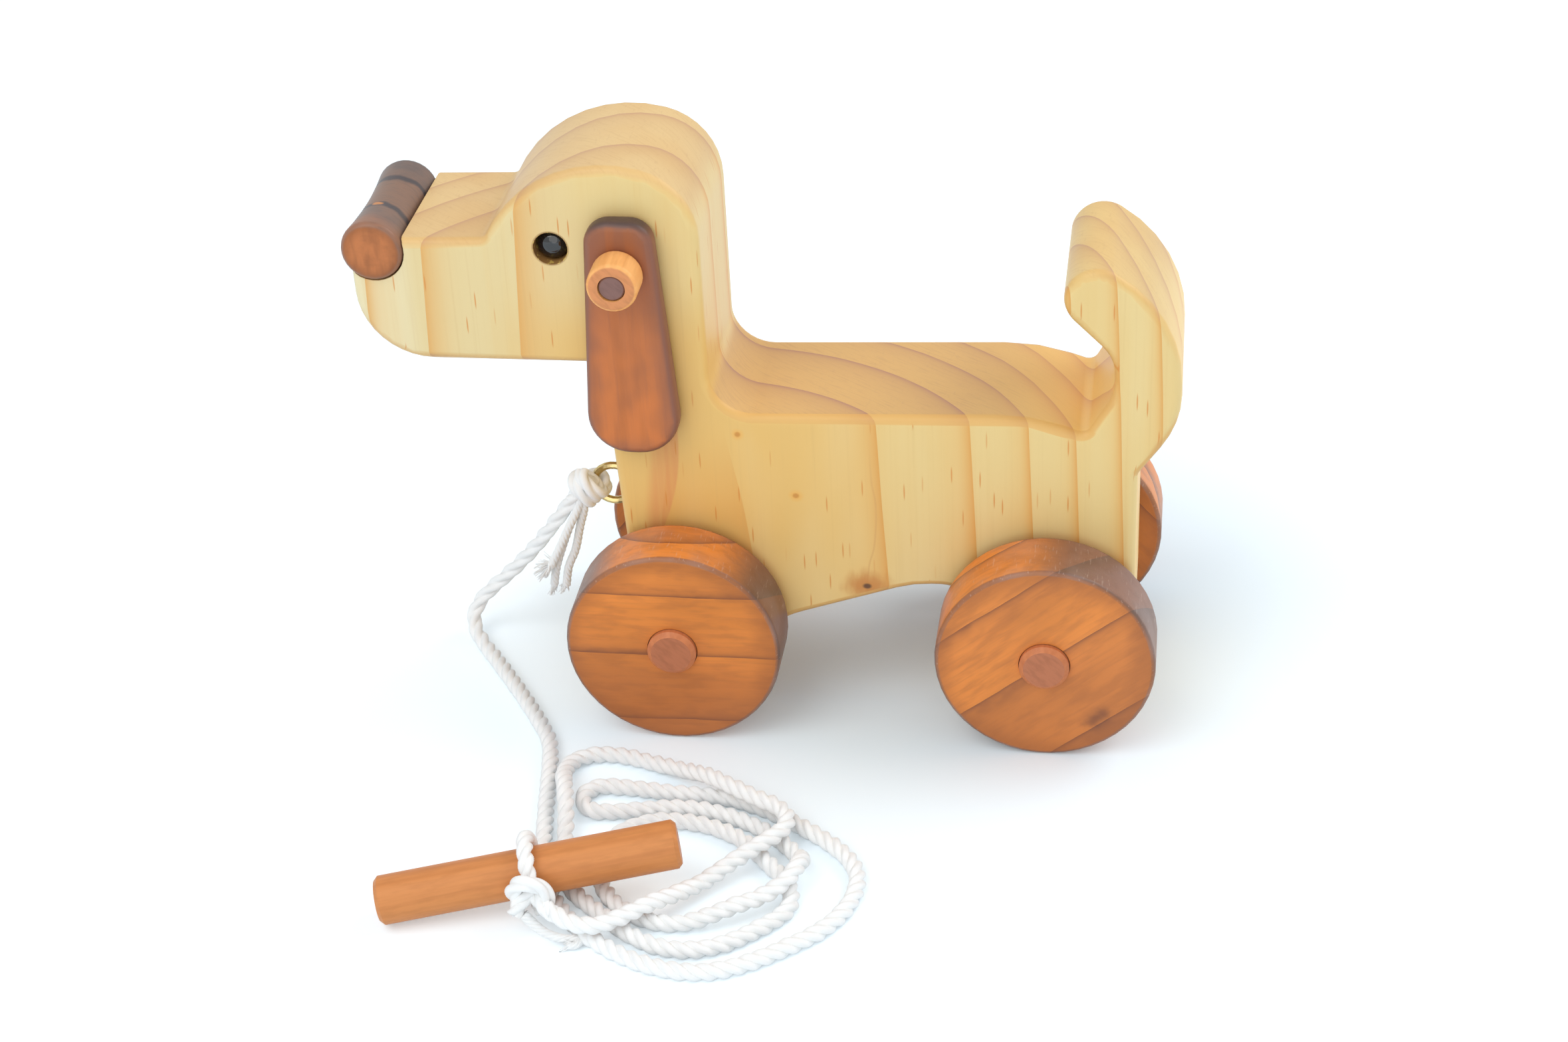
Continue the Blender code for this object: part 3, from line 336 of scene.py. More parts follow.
# Brass, and how far behind the front of the ring its tarnish gets thicker
TARNISH = (420, 4, 0.65)
TARNISH_DEPTH = (0.006, 0.011)
TARNISH_EDGES = (0.52, 0.7)
DEEP_TARNISH_EDGES = (0.3, 0.6)
BRASS_COLOUR = (0.62, 0.475, 0.22)
TARNISH_TINT = (0.75, (0.25, 0.17, 0.075))
BRASS_ROUGHNESS = 0.2
TARNISH_ROUGHNESS = 0.25
BRASS_BUMP = 0.00005
BRASS_BUMP_STRENGTH = 0.4

# The eyes, with a little dust
EYE_BLACK = (0.006, 0.006, 0.008)
EYE_DUST = (2500, 0.6, 0.8, 2, 1, (0.014, 0.014, 0.017))

# How facets are joined: the gap that is welded, and the angles in degrees from which an edge stays sharp
WELD_GAP = 0.00001
WOOD_SHARP = 40
CORD_SHARP = 75

# The cord: its strands and the length in which they turn once round, how much fuller than its solid it is
# drawn, and its unevenness along it (share, radians per metre). Near the ring it is taut, with a longer
# lay, and thinner. Then come the gaps it keeps, its steps, and its UV units in a metre.
CORD_DIAMETER = 0.004
STRANDS = 3
CORD_LAY = 0.0108
CORD_SWELL = 1.12
CORD_WOBBLE = ((0.025, 690.0), (0.02, 1910.0))
TAUT_LENGTH = 0.05
TAUT_EASE = 0.03
TAUT_LAY = 1.85
TAUT_SWELL = 1.04
CORD_PILE_GAP = 0.0006
CORD_FLOOR_GAP = 0.0001
CORD_STEP = 0.0006
ROUTE_PARTS = 16
UV_PACE = 100

# The cord's outline: the steps in each strand's lobe, the lobe's radius as a share of the cord's, and the
# steps round a single fibre
LOBE_STEPS = 8
LOBE_SHARE = 0.55
FIBRE_STEPS = 12

# The cord in the knots, its loose strands, and the fibres at their ends: where a fibre starts, how much its
# length varies, how far it bends, and how thin it ends. Then come the steps back from a tip that give its
# heading, and the steps of a knot's core that lie inside the cord itself.
KNOT_CORD_RADIUS = 0.0021
KNOT_LAY = 0.024
STRAND_RADIUS = 0.00118
STRAND_LOBES = 5
STRAND_LAY = -0.008
FIBRE_RADIUS = 0.00024
FIBRE_ROOT = 0.6
FIBRE_SINK = 0.0008
FIBRE_LENGTHS = (0.6, 1.0)
FIBRE_BEND = 0.3
HALF_BEND = 0.3
FIBRE_PARTS = 5
FIBRE_TIPS = (1.0, 0.35)
TIP_STEPS = 3
CORE_SKIP = 8

# The lead's points, from the ring knot down to the floor and along it to the coil. The points of the cord
# and its knots are from under the front axle.
LEAD_ROUTE = (
    (-0.0309, -0.0038, 0.0516), (-0.0348, -0.0028, 0.0461), (-0.0389, -0.0014, 0.0402),
    (-0.0436, 0.0009, 0.0334), (-0.0486, 0.0032, 0.0268), (-0.0536, 0.0048, 0.0209),
    (-0.0584, 0.0058, 0.0159), (-0.0624, 0.0061, 0.0117), (-0.0649, 0.0053, 0.0081),
    (-0.0655, 0.0032, 0.0052), (-0.064, -0.0003, 0.0032), (-0.0604, -0.0055, 0.0022),
    (-0.0555, -0.0124, 0.0021), (-0.0461, -0.0262, 0.0021), (-0.0375, -0.0401, 0.0021),
    (-0.0331, -0.049, 0.0021), (-0.0304, -0.062, 0.0021), (-0.0282, -0.076, 0.0021),
    (-0.0262, -0.088, 0.0021),
)

# The coil's turns, from the lead to its last quarter: place, layers of cord beneath, heading in degrees
COIL_TURNS = (
    (-0.0262, -0.088, 0.0, -80), (-0.0254, -0.0925, 0.0, -79), (-0.0088, -0.1232, 0.0, -40),
    (0.0185, -0.1349, 0.0, 0), (0.0435, -0.1215, 0.0, 40), (0.0541, -0.1, 0.0, 90),
    (0.0364, -0.0776, 0.0, 145), (0.01, -0.0676, 0.0, 180), (-0.0142, -0.0658, 0.0, 180),
    (-0.0195, -0.0711, 0.0, -90), (-0.0142, -0.0764, 0.0, 0), (0.007, -0.0732, 0.0, 0),
    (0.025, -0.0785, 0.0, -30), (0.0375, -0.0893, 0.0, -52), (0.0396, -0.101, 1.15, -102),
    (0.0288, -0.1125, 0.7, -152), (0.011, -0.1181, 0.0, 180), (-0.0105, -0.0955, 0.0, 95),
    (0.005, -0.0786, 0.0, 0), (0.0278, -0.0893, 0.0, -52), (0.039, -0.1075, 0.0, -88),
    (0.0311, -0.1196, 0.0, -135), (0.015, -0.1273, 0.0, 180), (-0.0059, -0.1162, 0.0, 138),
    (-0.0182, -0.101, 0.0, 102), (-0.019, -0.0968, 0.0, 100),
)
COIL_PARTS = 24

# The last stretch's points, from the coil over the loops to the handle's knot
END_ROUTE = (
    (-0.019, -0.0968, 0.0021), (-0.0198, -0.0925, 0.0021), (-0.0206, -0.088, 0.0029),
    (-0.0214, -0.0825, 0.0048), (-0.0226, -0.077, 0.0065), (-0.024, -0.0715, 0.0064),
    (-0.0254, -0.0665, 0.005), (-0.0259, -0.0615, 0.0036), (-0.025, -0.057, 0.0027),
    (-0.0222, -0.0538, 0.0022), (-0.018, -0.0524, 0.0021), (-0.012, -0.0528, 0.0021),
    (-0.004, -0.0553, 0.0022), (0.0051, -0.0596, 0.0036), (0.0115, -0.0642, 0.006),
    (0.0175, -0.0688, 0.007), (0.0262, -0.074, 0.0069), (0.0312, -0.0768, 0.0069),
    (0.0342, -0.0803, 0.0069), (0.0346, -0.0845, 0.0069), (0.0326, -0.0884, 0.0069),
    (0.0286, -0.093, 0.0068), (0.0232, -0.0984, 0.0058), (0.017, -0.1048, 0.0044),
    (0.0114, -0.1112, 0.0055), (0.006, -0.1172, 0.007), (0.0, -0.1226, 0.0069),
    (-0.0054, -0.1258, 0.0069), (-0.0113, -0.1257, 0.0073), (-0.0173, -0.1228, 0.0085),
)

# The knot at the ring: its middle, its turns about the lead, its core's reach past the middle, and its loop
RING_KNOT = (-0.0276, -0.0042, 0.0544)
RING_KNOT_AXIS = (0.68, -0.11, 0.725)
RING_KNOT_TURNS = 1.75
RING_KNOT_STEPS = 40
RING_KNOT_PITCH = 0.0033
RING_KNOT_COIL = (0.0037, 0.0025)
RING_KNOT_CORE = 0.003
RING_SEED = 7
RING_LOOP = (
    (-0.03, -0.001, 0.053), (-0.0284, 0.0022, 0.0536), (-0.0256, 0.003, 0.0534),
    (-0.0238, 0.0004, 0.0522), (-0.0252, -0.0024, 0.0512), (-0.0278, -0.004, 0.0516),
)
RING_TAILS = (
    (
        (-0.0295, -0.0045, 0.052), (-0.0305, -0.0046, 0.048), (-0.0335, -0.005, 0.0419),
        (-0.0365, -0.005, 0.0355), (-0.0396, -0.005, 0.0292),
    ),
    (
        (-0.03, -0.003, 0.052), (-0.031, -0.003, 0.047), (-0.034, -0.003, 0.0405),
        (-0.0364, -0.003, 0.0343), (-0.0386, -0.003, 0.0278), (-0.0398, -0.003, 0.022),
    ),
    (
        (-0.0285, -0.004, 0.052), (-0.0292, -0.0036, 0.047), (-0.031, -0.003, 0.0408),
        (-0.0328, -0.003, 0.0337), (-0.0352, -0.003, 0.028), (-0.0364, -0.003, 0.022),
    ),
)

# The brush at the end of each strand: fibres, length, spread, and which way it leans
RING_TUFTS = (
    (64, 0.0056, 0.7, (-0.6, 0.0, 0.15)),
    (36, 0.0042, 0.35, (0.0, 0.0, 0.0)),
    (36, 0.0036, 0.55, (-0.45, 0.0, 0.0)),
)

# The knot at the handle. Apart from the tail, its points are in the handle's own frame: towards the viewer,
# along the dowel, up. Its tufts are given as at the ring.
HANDLE_CENTRE = (-0.0242, -0.1114, 0.0101)
HANDLE_TURN = 14.2
HANDLE_TILT = 6.2
HANDLE_RADIUS = 0.006
WRAP_GAP = 0.0001
WRAP_STEPS = 60
WRAP_START = -20.0
WRAP_TURN = -325.0
WRAP_DRIFT = (0.0016, 0.0005)
HANDLE_BAND_END = (
    (0.009, 0.0002, 0.002), (0.0102, -0.0015, 0.0004), (0.0112, -0.0031, -0.001),
    (0.0116, -0.0042, -0.0024),
)
HANDLE_ARCH = (
    (0.0082, -0.0017, -0.0026), (0.0086, -0.0035, 0.0004), (0.0098, -0.003, 0.0038),
    (0.0113, -0.0008, 0.0058), (0.0117, 0.0015, 0.0054), (0.011, 0.0035, 0.0028),
    (0.01, 0.004, -0.0008), (0.009, 0.0029, -0.0036), (0.0082, 0.0009, -0.0046),
)
HANDLE_TAIL = (
    (-0.023, -0.1234, 0.007), (-0.0212, -0.1237, 0.005), (-0.0185, -0.1246, 0.0032),
    (-0.0157, -0.1253, 0.0023), (-0.0131, -0.1254, 0.0019), (-0.0105, -0.125, 0.0016),
    (-0.0093, -0.1254, 0.0015), (-0.0101, -0.1269, 0.0013), (-0.0122, -0.1271, 0.0012),
)
HANDLE_CORE_END = (0.0094, 0.0014, 0.0005)
HANDLE_TAIL_TIPS = (1.15, 0.8)
HANDLE_CUT_TUFT = (24, 0.0012, 0.3)
HANDLE_TAIL_TUFT = (16, 0.0022, 0.5)
HANDLE_TIP_STEPS = 4
HANDLE_SEED = 11

# The floor, and how it is lifted where the camera sees it: about which point, and for each lift the
# distances between which it grows and its first and last strength
FLOOR_SIZE = 8.0
FLOOR_COLOUR = (0.83, 0.922, 0.98)
LIFT_CENTRE = (0.05, 0.02, 0.0)
FLOOR_LIFTS = ((0.03, 0.17, 0.05, 0.3), (0.4, 2.0, 0.0, 0.45))

# The sky as the camera sees it and as it lights, and each lamp's place, target, size and power
SKY_COLOUR = (0.97, 1.0, 1.0)
SKY_LIGHT = (0.545, 0.58, 0.615)
LAMP_COLOUR = (1.0, 0.985, 0.96)
LAMPS = {
    "key": ((-0.55, -0.75, 1.25), (0, 0, 0.05), 1.1, 6.7),
    "front": ((0.05, -1.25, 0.55), (0, 0, 0.06), 1.2, 3.7),
    "back": ((0.95, 0.4, 1.0), (0, 0, 0.09), 1.0, 7.2),
}


class Nodes:
    """A node tree being made: each call adds a node and returns its output."""

    def __init__(self, tree):
        self.tree = tree

    def feed(self, socket, value):
        if isinstance(value, bpy.types.NodeSocket):
            self.tree.links.new(value, socket)
        elif isinstance(value, tuple) and socket.type == "RGBA":
            socket.default_value = (*value, 1.0)
        else:
            socket.default_value = value

    def add(self, kind, values, **settings):
        node = self.tree.nodes.new("ShaderNode" + kind)
        for name, value in settings.items():
            setattr(node, name, value)
        for socket, value in values.items():
            self.feed(node.inputs[socket], value)
        return node

    def coordinate(self, name):
        return self.add("TexCoord", {}).outputs[name]

    def place(self, start=(0.0, 0.0, 0.0)):
        """Where the point lies on the piece from a start, in metres."""
        return self.vector("SUBTRACT", self.coordinate("Object"), start)

    def math(self, operation, a, b=0.0):
        return self.add("Math", {0: a, 1: b}, operation=operation).outputs[0]

    def vector(self, operation, a, b):
        return self.add("VectorMath", {0: a, 1: b}, operation=operation).outputs[0]

    def dot(self, vector, axis):
        return self.add("VectorMath", {0: vector, 1: axis}, operation="DOT_PRODUCT").outputs["Value"]

    def length(self, vector):
        return self.add("VectorMath", {0: vector}, operation="LENGTH").outputs["Value"]

    def fold(self, operation, values):
        result = values[0]
        for value in values[1:]:
            result = self.math(operation, result, value)
        return result

    def total(self, *values):
        return self.fold("ADD", values)

    def times(self, *values):
        return self.fold("MULTIPLY", values)

    def less(self, a, b):
        return self.math("SUBTRACT", a, b)

    def larger(self, a, b):
        return self.math("MAXIMUM", a, b)

    def size(self, value):
        return self.math("ABSOLUTE", value)

    def power(self, value, exponent):
        return self.math("POWER", value, exponent)

    def parts(self, vector):
        return self.add("SeparateXYZ", {0: vector}).outputs

    def joined(self, x, y, z):
        return self.add("CombineXYZ", {0: x, 1: y, 2: z}).outputs[0]

    def noise(self, vector, scale, detail=2.0, roughness=0.5):
        """Noise from 0 to 1, with one scale or one for each axis."""
        scales = scale if isinstance(scale, tuple) else (scale, scale, scale)
        values = {"Vector": self.vector("MULTIPLY", vector, scales), "Scale": 1.0}
        values.update({"Detail": detail, "Roughness": roughness})
        return self.add("TexNoise", values).outputs[0]

    def fibre(self, vector, scale):
        return self.noise(vector, scale, FIBRE_DETAIL, FIBRE_ROUGHNESS)

    def waved(self, value, vector, *waves):
        """A value with noise about zero added to it, each of a given height from end to end."""
        for scale, height in waves:
            value = self.total(value, self.times(self.less(self.noise(vector, scale), 0.5), height))
        return value

    def between(self, value, low, high, start=0.0, end=1.0):
        """The start below low, the end above high, easing in between."""
        values = {"Value": value, "From Min": low, "From Max": high, "To Min": start, "To Max": end}
        return self.add("MapRange", values, interpolation_type="SMOOTHSTEP").outputs[0]

    def patches(self, vector, scale, low, high, detail=2.0):
        """Noise cut into patches."""
        return self.between(self.noise(vector, scale, detail), low, high)

    def zone(self, vector, **edges):
        """A mask between edges along some axes."""
        parts = self.parts(vector)
        return self.times(*(self.between(parts[axis.upper()], *edge) for axis, edge in edges.items()))

    def mix(self, factor, a, b):
        node = self.add("Mix", {}, data_type="RGBA")
        for socket, value in ((0, factor), (6, a), (7, b)):
            self.feed(node.inputs[socket], value)
        return node.outputs[2]

    def curve(self, value, points, handles="VECTOR"):
        """A line through (x, y) points, both from 0 to 1."""
        node = self.add("FloatCurve", {"Value": value})
        line = node.mapping.curves[0]
        for x, y in points[1:-1]:
            line.points.new(x, y)
        line.points[0].location = points[0]
        line.points[len(points) - 1].location = points[-1]
        for point in line.points:
            point.handle_type = handles
        node.mapping.update()
        return node.outputs[0]


class Coat:
    """A colour that is built up in a node tree, one tint over another."""

    def __init__(self, nodes, colour):
        self.nodes = nodes
        self.colour = colour

    def tint(self, mask, share, other):
        """A share of another colour where the mask is 1."""
        self.colour = self.nodes.mix(self.nodes.times(mask, share), self.colour, other)
        return self

    def shade(self, value, low, high, share, other):
        """A tint that starts where a value is low and is full where it is high."""
        return self.tint(self.nodes.between(value, low, high), share, other)

    def patch(self, vector, scale, low, high, detail, share, other):
        """A tint in patches."""
        return self.tint(self.nodes.patches(vector, scale, low, high, detail), share, other)


class Look(Nodes):
    """A material being made."""

    def __init__(self, name, **sockets):
        self.material = bpy.data.materials.new(name)
        self.material.use_nodes = True
        super().__init__(self.material.node_tree)
        self.shader = self.tree.nodes["Principled BSDF"]
        for socket, value in sockets.items():
            self.put(socket.replace("_", " "), value)

    def put(self, socket, value):
        self.feed(self.shader.inputs[socket], value)

    def finished(self, colour, height, distance, strength=0.5):
        """The material, with its colour and with bumps from a height."""
        self.put("Base Color", colour)
        values = {"Height": height, "Distance": distance, "Strength": strength}
        self.put("Normal", self.add("Bump", values).outputs[0])
        return self.material


def ring_phase(look, radius, edges, reach):
    """How far through its growth ring a point lies, from 0 at the inner edge to 1 at the outer one."""
    count = len(edges) + 1
    points = [(0.0, 0.0)]
    points += [(edge / reach, (i + 1) / count) for i, edge in enumerate(edges)]
    points.append((1.0, 1.0))
    index = look.curve(look.times(radius, 1 / reach), points)
    return look.math("FRACT", look.times(index, float(count)))


def far_from(look, place, axis):
    """Distance from the line along X, Y or Z through the origin."""
    keep = tuple(0.0 if i == axis else 1.0 for i in range(3))
    return look.length(look.vector("MULTIPLY", place, keep))


def pine():
    """Oiled pine with the rings of one board: pale faces, and tan end grain with purple-brown rings."""
    look = Look("oiled_pine", Roughness=0.42, Specular_IOR_Level=0.4)
    here = look.place(UNDER_AXLE)
    x, _, height = look.parts(here)
    _, sideways, upright = (look.size(part) for part in look.parts(look.coordinate("Normal")))
    end = look.between(upright, *END_SLOPE)
    trunk = look.between(x, *TRUNK_FRONT)

    radius = far_from(look, look.vector("SUBTRACT", here, (*PITH, 0.0)), 2)
    radius = look.total(radius, look.times(look.less(height, RING_HEIGHT), RING_TAPER))
    radius = look.waved(radius, here, *RING_WAVES)
    phase = ring_phase(look, radius, RING_EDGES, RING_REACH)
    clear_below = look.times(look.between(height, *CLEAR_HEIGHTS), CLEAR_BELOW)
    clear = look.larger(look.between(radius, *CLEAR_RADII), clear_below)
    clear = look.times(clear, look.total(HEAD_CLEAR, look.times(trunk, 1 - HEAD_CLEAR)))
    sharpness = look.total(HEAD_LINE_POWER, look.times(trunk, TRUNK_LINE_POWER - HEAD_LINE_POWER))
    line = look.times(look.power(phase, sharpness), clear)
    glow = look.times(look.power(phase, FACE_GLOW_POWER), clear)
    fibre = look.fibre(here, PINE_FIBRE)

    face = Coat(look, look.mix(trunk, FACE_HEAD, FACE_TRUNK))
    inner = look.times(look.between(radius, *INNER_RADII), look.between(height, *INNER_HEIGHTS))
    face.tint(inner, 1.0, FACE_INNER)
    face.shade(x, *FACE_SNOUT)
    for patch in FACE_PATCHES:
        face.patch(here, *patch)
    face.tint(glow, *FACE_GLOW)
    face.tint(line, *FACE_LINE)
    face.shade(fibre, *FACE_FIBRE)
    chest_streak(look, here, face)
    resin_ducts(look, here, face)
    knot_line(look, here, face)
    for knot in KNOTS:
        branch(look, here, face, *knot)

    grit = look.noise(here, GRIT, roughness=FIBRE_ROUGHNESS)
    slant = look.joined(look.dot(here, SANDING), look.dot(here, ACROSS_SANDING), height)
    head = look.zone(here, **HEAD_ZONE)
    tail = look.zone(here, **TAIL_ZONE)
    pale = look.larger(head, tail)
    top = Coat(look, look.mix(head, TOP_BACK, TOP_HEAD))
    top.tint(tail, 1.0, TOP_TAIL)
    top.patch(here, *TOP_PATCH)
    share = look.less(TOP_GLOW_SHARE, look.times(pale, PALE_GLOW_LOSS))
    top.tint(look.power(phase, TOP_GLOW_POWER), share, TOP_GLOW)
    ring = look.mix(pale, TOP_LINE, PALE_LINE)
    top.tint(look.power(phase, TOP_LINE_POWER), TOP_LINE_SHARE, ring)
    faint = look.less(1.0, look.times(pale, PALE_MARKS_LOSS))
    top.tint(look.times(look.patches(slant, *SANDING_MARKS), faint), *MARKS_TINT)
    top.shade(grit, *GRIT_TINT)

    wood = Coat(look, look.mix(end, face.colour, top.colour))
    # Painted light: the nook before the tail is tinted paler and more orange, standing in for light bounced
    # into it from the tail.
    nook_light = look.times(look.zone(here, **NOOK_LIGHT_ZONE), look.between(sideways, *NOOK_LIGHT_SLOPE))
    wood.tint(nook_light, NOOK_LIGHT_SHARE, Coat(look, NOOK_LIGHT).tint(glow, *NOOK_LIGHT_GLOW).colour)
    rounded = look.times(look.between(sideways, *EDGE_SLOPE), look.between(upright, *EDGE_SLOPE))
    share = look.less(EDGE_SHARE, look.times(look.between(height, *EDGE_HEIGHTS), EDGE_LOSS))
    wood.tint(rounded, share, Coat(look, EDGE).tint(glow, *EDGE_GLOW).colour)
    burnt_holes(look, wood)
    bumps = look.total(look.times(fibre, FINE_BUMP), look.times(grit, end, FINE_BUMP), line)
    return look.finished(wood.colour, bumps, PINE_BUMP)


def chest_streak(look, here, wood):
    """A reddish streak of resin down the chest, soft along its front and sharp along its back."""
    x, _, z = look.parts(here)
    below = look.less(STREAK_TOP, look.math("MINIMUM", z, STREAK_TOP))
    back = look.less(STREAK_BACK, look.times(below, below, STREAK_CURVE))
    front = look.less(STREAK_FRONT, look.times(look.less(STREAK_TOP, z), STREAK_LEAN))
    mask = look.times(
        look.between(look.less(x, back), *STREAK_BACK_EDGE),
        look.between(look.less(x, front), *STREAK_FRONT_EDGE),
        look.zone(here, **STREAK_ZONE),
        look.total(STREAK_LEAST, look.times(look.patches(here, *STREAK_FIBRE), 1 - STREAK_LEAST)),
    )
    wood.tint(mask, *STREAK_TINT)


def resin_ducts(look, here, wood):
    """Short reddish dashes along the grain."""
    x, y, z = look.parts(here)
    across = look.times(look.total(x, look.times(y, DUCT_SLANT)), DUCTS_ACROSS)
    cells = {"Vector": look.joined(across, look.times(z, DUCTS_ALONG), 0.0), "Scale": 1.0}
    node = look.add("TexVoronoi", cells, voronoi_dimensions="2D")
    dash = look.between(node.outputs["Distance"], *DUCT_EDGE)
    depth = look.between(look.parts(node.outputs["Color"])[0], *DUCT_DEPTH)
    wood.tint(look.times(dash, depth), *DUCT_TINT)


def knot_line(look, here, wood):
    """The thin dark line that runs down the flank and bends into the knot at the belly."""
    x, _, z = look.parts(here)
    share = look.times(look.less(z, KNOT_LINE_FOOT), 1 / KNOT_LINE_HEIGHT)
    middle = look.total(KNOT_LINE_LEFT, look.times(look.curve(share, KNOT_LINE, "AUTO"), KNOT_LINE_WIDTH))
    thin = look.between(look.size(look.less(x, middle)), *KNOT_LINE_EDGE)
    wood.tint(look.times(thin, look.zone(here, **KNOT_LINE_ZONE)), *KNOT_LINE_TINT)


def branch(look, here, wood, place, core, core_tint, halo, halo_tint):
    """A branch that grew from the pith out through a point: its core and the stained wood round it."""
    out = Vector((place[0] - PITH[0], place[1] - PITH[1], 0.0)).normalized()
    away = look.length(look.vector("CROSS_PRODUCT", look.vector("SUBTRACT", here, place), out))
    ragged = look.waved(away, here, (HALO_SCALE, halo * HALO_WAVE))
    wood.shade(ragged, halo, halo * HALO_FULL, *halo_tint)
    wood.shade(away, core, core * CORE_FULL, *core_tint)


def burnt_holes(look, wood):
    """The eyes' drilled holes: a scorched rim with bright flecks of resin in it."""
    low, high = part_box("eye_left")
    here = look.place((low + high) / 2)
    away = far_from(look, here, 1)
    wood.shade(away, *BURNT_RIM)
    wood.tint(look.times(look.patches(here, *FLECKS), look.between(away, *FLECK_EDGE)), *FLECK_TINT)


def wheel_look(name, axle):
    """A stained disc sawn from a board: its rings lean into it, and the ends of its grain are darker."""
    angle, lean, core, heights = WHEEL_RINGS[name]
    low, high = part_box(name)
    inward, outer = (1.0, low.y) if low.y < 0 else (-1.0, high.y)
    turn, slope = math.radians(angle), math.radians(lean)
    along = Vector((math.cos(turn), 0, math.sin(turn)))
    growth = Vector((-math.sin(turn), 0, math.cos(turn))) * math.cos(slope)
    growth += Vector((0, inward, 0)) * math.sin(slope)
    look = Look(name + "_wood", Roughness=0.4, Specular_IOR_Level=0.35)
    here = look.place((axle.x, outer, axle.z))
    height = look.waved(look.dot(here, growth), here, *WHEEL_WAVES)
    grain = look.joined(height, look.dot(here, growth.cross(along)), look.dot(here, along))
    edges = tuple(edge + WHEEL_REACH / 2 for edge in heights)
    phase = ring_phase(look, look.total(height, WHEEL_REACH / 2), edges, WHEEL_REACH)
    if name in RINGS_FADE_UP:
        phase = look.less(1.0, phase)
    line = look.power(phase, WHEEL_LINE_POWER)
    glow = look.power(phase, WHEEL_GLOW_POWER)
    fibre = look.fibre(grain, STAINED_FIBRE)
    normal = look.coordinate("Normal")
    facing = look.size(look.parts(normal)[1])
    tread = look.between(facing, *TREAD_SLOPE)

    face = Coat(look, WHEEL_EARLY).patch(grain, *WHEEL_PATCH)
    face.tint(tread, *TREAD_TINT)
    face.patch(grain, *WHEEL_SMEAR)
    face.tint(glow, *WHEEL_GLOW)
    face.shade(height, *WHEEL_CORE, core, WHEEL_LATE)
    face.tint(line, *WHEEL_LINE)
    face.tint(look.times(look.power(phase, SMUDGE_POWER), look.patches(grain, *SMUDGES)), *SMUDGE_TINT)
    face.shade(fibre, *WHEEL_FIBRE)
    face.patch(grain, *WHEEL_MOTTLE)
    away = look.waved(far_from(look, here, 1), here, RIM_WAVE)
    face.tint(look.times(look.between(away, *RIM_RADII), look.less(1.0, tread)), *RIM_TINT)
    if name == SPOT_WHEEL:
        spot = look.vector("SUBTRACT", here, SPOT_PLACE)
        run = look.times(look.dot(spot, along), SPOT_STRETCH)
        away = look.length(look.joined(run, look.dot(spot, growth), 0.0))
        face.shade(look.waved(away, here, SPOT_WAVE), *SPOT)

    end = Coat(look, WHEEL_END).tint(glow, *WHEEL_END_GLOW).patch(grain, *WHEEL_END_PATCH)
    ends = look.between(look.size(look.dot(normal, along)), *WHEEL_END_SLOPE)
    wood = Coat(look, look.mix(ends, face.colour, end.colour))
    corner = look.times(look.between(facing, *CORNER_IN), look.between(facing, *CORNER_OUT))
    wood.tint(corner, *CORNER_TINT)
    worn = look.larger(corner, tread)
    # Partly real dust and partly painted sheen: a greyish bloom in patches on the worn corners and treads.
    wood.tint(look.times(worn, look.patches(here, *DUST_AND_SHEEN)), *DUST_AND_SHEEN_TINT)
    wood.tint(look.times(worn, look.patches(here, *SCUFFS)), *SCUFF_TINT)
    bumps = look.total(fibre, look.times(line, WHEEL_LINE_BUMP))
    return look.finished(wood.colour, bumps, STAINED_BUMP)


def dowel_look(name, axis, centre, side, streak, end):
    """A stained dowel: faint streaks along it, and its cut ends in their own colour."""
    look = Look(name, Roughness=0.45, Specular_IOR_Level=0.3)
    axis = Vector(axis).normalized()
    across = axis.orthogonal().normalized()
    here = look.place(centre)
    grain = look.joined(look.dot(here, across), look.dot(here, axis.cross(across)), look.dot(here, axis))
    fibre = look.fibre(grain, DOWEL_FIBRE)
    wood = Coat(look, side).patch(grain, *DOWEL_STREAKS, streak)
    wood.patch(grain, *DOWEL_MOTTLE, darker(streak, MOTTLE_SHADE))
    wood.shade(fibre, *DOWEL_FIBRES, darker(streak, FIBRE_SHADE))
    cut = Coat(look, end).patch(grain, *DOWEL_CUT, darker(end, CUT_SHADE))
    facing = look.between(look.size(look.dot(look.coordinate("Normal"), axis)), *CUT_SLOPE)
    return look.finished(look.mix(facing, wood.colour, cut.colour), fibre, STAINED_BUMP)


def ear_look(name):
    """A stained slip of wood: orange on its faces, darker along its edges and darkest where its top and foot
    cut the grain; painted shade darkens the upper face round the cap.
    """
    look = Look(name + "_wood", Roughness=0.42, Specular_IOR_Level=0.35)
    here = look.place(EAR_PIVOT)
    x, _, height = look.parts(here)
    _, sideways, upright = look.parts(look.coordinate("Normal"))
    fibre = look.fibre(here, STAINED_FIBRE)
    # Painted shade: the ear's face fades darker towards the top, round the cap.
    wood = Coat(look, look.mix(look.between(height, *EAR_SHADE_FADE), EAR_FACE, EAR_FACE_SHADE))
    for patch in EAR_PATCHES:
        wood.patch(here, *patch)
    wood.shade(fibre, *EAR_FIBRE)
    half = look.less(EAR_HALF, look.times(height, EAR_TAPER))
    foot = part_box(name)[0].z - EAR_PIVOT.z
    rim = look.larger(look.less(look.size(x), half), look.less(foot, height))
    wood.shade(look.waved(rim, here, EAR_RIM_WAVE), *EAR_RIM)
    edge = Coat(look, look.mix(look.between(upright, *EAR_TOP_SLOPE), EAR_EDGE, EAR_TOP))
    edge.shade(upright, *EAR_FOOT)
    wood.shade(look.size(sideways), *EAR_TURN, edge.colour)
    return look.finished(wood.colour, fibre, STAINED_BUMP)


